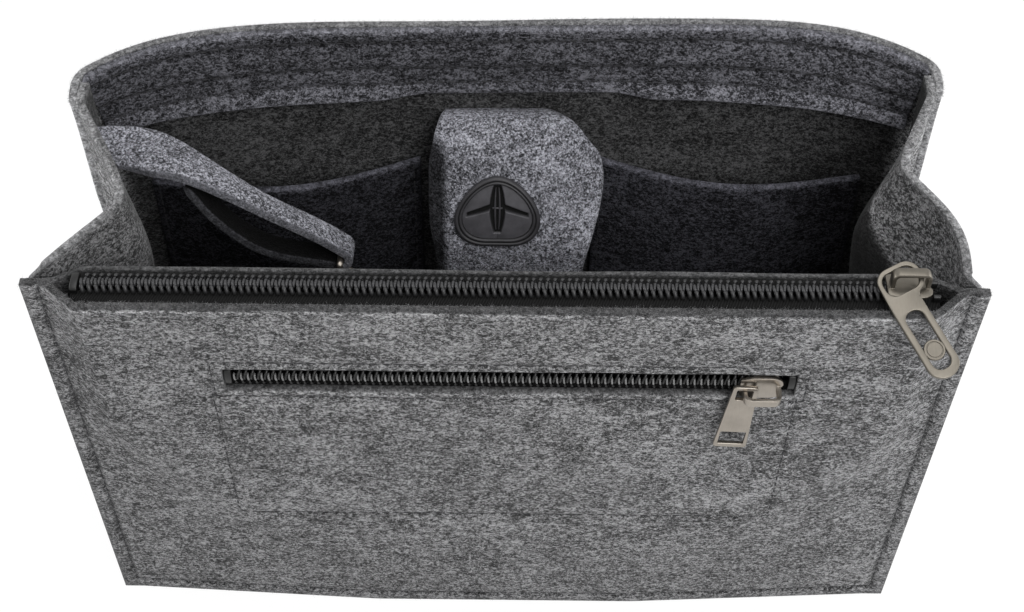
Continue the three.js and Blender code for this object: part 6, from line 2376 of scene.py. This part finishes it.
    def make_hook(self) -> None:
        """Makes the swivel hook: its eye, its body and its sprung gate."""
        hang = self.eye_radius - self.eye_wire - self.ring_wire - FORM.gap
        at = self.bar + self.ring_way * self.ring_drop - np.array([0.0, 0.0, hang])
        turn = math.atan2(-self.across[-1][0], self.across[-1][1])
        place = Matrix.Translation(Vector(at)) @ Matrix.Rotation(turn, 4, "Z")
        top = -self.eye_radius - self.eye_wire - FORM.gap
        middle, low = top - self.barrel_length / 2, top - self.barrel_length
        end = low - self.hook_length
        angles = np.linspace(0, 2 * math.pi, 49)[:-1]
        circle = self.eye_radius * xyz(np.cos(angles), 0.0, np.sin(angles))
        pin = xyz(0.0, 0.0, np.linspace(-self.eye_radius, middle, 6))
        eye = joined(tube(circle, self.eye_wire, closed=True), tube(pin, self.pin))
        r, bore, floor = self.barrel, self.pin + FORM.gap, middle - FORM.gap
        barrel = revolve([
            (0.0, low), (r - 0.5, low), (r - 0.15, low + 0.15), (r, low + 0.5), (r, low + 2.2),
            (r - 0.3, low + 2.5), (r - 0.3, low + 2.9), (r, low + 3.2), (r, top - 1.2),
            (r - 0.25, top - 0.5), (r - 0.8, top), (bore, top), (bore, floor), (0.0, floor),
        ])
        wire, half, gate_low = self.hook_wire, self.hook_half, between(low, end, 0.55)
        bend = spline([(x, 0.0, z) for x, z in (
            (0.0, low + wire), (-0.55 * half, low - wire), (-half, between(low, end, 0.35)),
            (-half, between(low, end, 0.7)), (0.0, end + wire), (half, between(low, end, 0.75)),
            (half, gate_low),
        )], 12)
        pivot = np.array([self.barrel, 0.0, low - self.gate_wire - FORM.gap])
        foot = np.array([half, 0.0, gate_low + FORM.gap + 0.6])
        gate = between(pivot, foot, np.linspace(0, 1, 12)[:, None])
        for body, (points, faces) in (
            (Body.HOOK_EYE, eye),
            (Body.HOOK_BODY, joined(barrel, capped(bend, wire))),
            (Body.HOOK_GATE, capped(gate, self.gate_wire)),
        ):
            piece = outward(make_object(body.value + "_metal", moved(points, place), faces))
            piece.data.set_sharp_from_angle(angle=math.radians(40))
            self.shop.fit(piece, Look.NICKEL, body, body.value)


@dataclass
class Studio:
    """The floor, the lights and the camera."""

    camera_at: tuple[float, float, float] = (0.0019, -0.3179, 0.4972)
    tilt: float = 39.0
    roll: float = 0.62
    lens: float = 57.27
    ambient: float = 0.3
    key_power: float = 8.5
    top_power: float = 4.0
    side_power: float = 4.5
    floor_half: float = 6000.0
    floor_drop: float = 0.4
    floor_glow: float = 1.08

    def build(self) -> None:
        """Makes the whole studio."""
        bpy.context.scene.view_settings.view_transform = "Standard"
        self.make_camera()
        self.make_world()
        self.make_floor()
        self.add_lamp("key_light", (0.42, -0.8, 0.98), 0.8, self.key_power)
        self.add_lamp("top_light", (0.05, 0.1, 1.15), 0.9, self.top_power)
        for side in (-1, 1):
            self.add_lamp(f"side_light_{side + 2}", (1.1 * side, 0.2, 0.3), 0.7, self.side_power)

    def make_camera(self) -> None:
        """Makes the camera at the photograph's angle."""
        camera = linked("camera", bpy.data.cameras.new("camera"))
        camera.data.lens = self.lens
        camera.data.sensor_width = 36.0
        camera.data.clip_start = 0.01
        tilt = Matrix.Rotation(math.radians(self.tilt), 4, "X")
        roll = Matrix.Rotation(math.radians(self.roll), 4, "Z")
        camera.matrix_world = Matrix.Translation(self.camera_at) @ tilt @ roll
        bpy.context.scene.camera = camera

    def make_world(self) -> None:
        """Makes a world that is white to look at and dim as a light."""
        world = Graph("studio", True)
        dim, white = (
            world.node("ShaderNodeBackground", None, {"Color": (1.0, 1.0, 1.0, 1.0), "Strength": strength})
            for strength in (self.ambient, 1.0)
        )
        mix = world.node("ShaderNodeMixShader", None, {0: world.seen(), 1: dim, 2: white})
        world.node("ShaderNodeOutputWorld", None, {"Surface": mix})
        bpy.context.scene.world = world.owner

    def make_floor(self) -> None:
        """Makes a white floor that keeps a faint shadow."""
        corners = np.array([(-1, -1), (1, -1), (1, 1), (-1, 1)]) * self.floor_half
        floor = make_object("floor", xyz(*corners.T, -self.floor_drop), [(0, 1, 2, 3)])
        graph = Graph("white_floor")
        tint = graph.ramp(graph.noise(graph.coordinates(), 30.0, 2.0), (1, 1, 1), (0.0, 0.80), (1.0, 0.82))
        matte = graph.node("ShaderNodeBsdfDiffuse", None, {"Color": tint})
        glow = graph.node("ShaderNodeEmission", None, {"Strength": self.floor_glow})
        shown = graph.node("ShaderNodeMixShader", None, {0: 0.86, 1: matte, 2: glow})
        both = graph.node("ShaderNodeMixShader", None, {0: graph.seen(), 1: matte, 2: shown})
        graph.node("ShaderNodeOutputMaterial", None, {"Surface": both})
        floor.data.materials.append(graph.owner)

    @staticmethod
    def add_lamp(name: str, at: tuple[float, float, float], size: float, power: float) -> None:
        """Adds one soft lamp that faces the object.

        Args:
            name: The lamp's name.
            at: Its place in metres.
            size: Its width in metres.
            power: Its power in watts.
        """
        data = bpy.data.lights.new(name, "AREA")
        data.shape = "DISK"
        data.size = size
        data.energy = power
        lamp = linked(name, data)
        lamp.location = at
        lamp.rotation_euler = (Vector((0.0, 0.0, 0.1)) - Vector(at)).to_track_quat("-Z", "Y").to_euler()


def main() -> None:
    """Builds the studio and every sub-assembly."""
    logging.basicConfig(level=logging.INFO, format="%(message)s")
    Studio().build()
    shop = Workshop()
    FrontWalls(shop).build()
    RearWall(shop).build()
    # Each gusset's tones give its painted shade low and high on its inner face; the right one also has a
    # painted shadow line (0.895).
    left = Gusset(shop, "left_gusset", -1, -11.0, 4.0, 1.0, (0.15, 0.55))
    right = Gusset(shop, "right_gusset", 1, 3.0, 9.0, 6.0, (0.3, 0.66), 0.895)
    for gusset in (left, right):
        gusset.build()
    BaseTray(shop).build()
    CablePouch(shop).build()
    MainZip(shop).build()
    FrontPocket(shop).build()
    KeyStrap(shop, left).build()


if __name__ == "__main__":
    main()
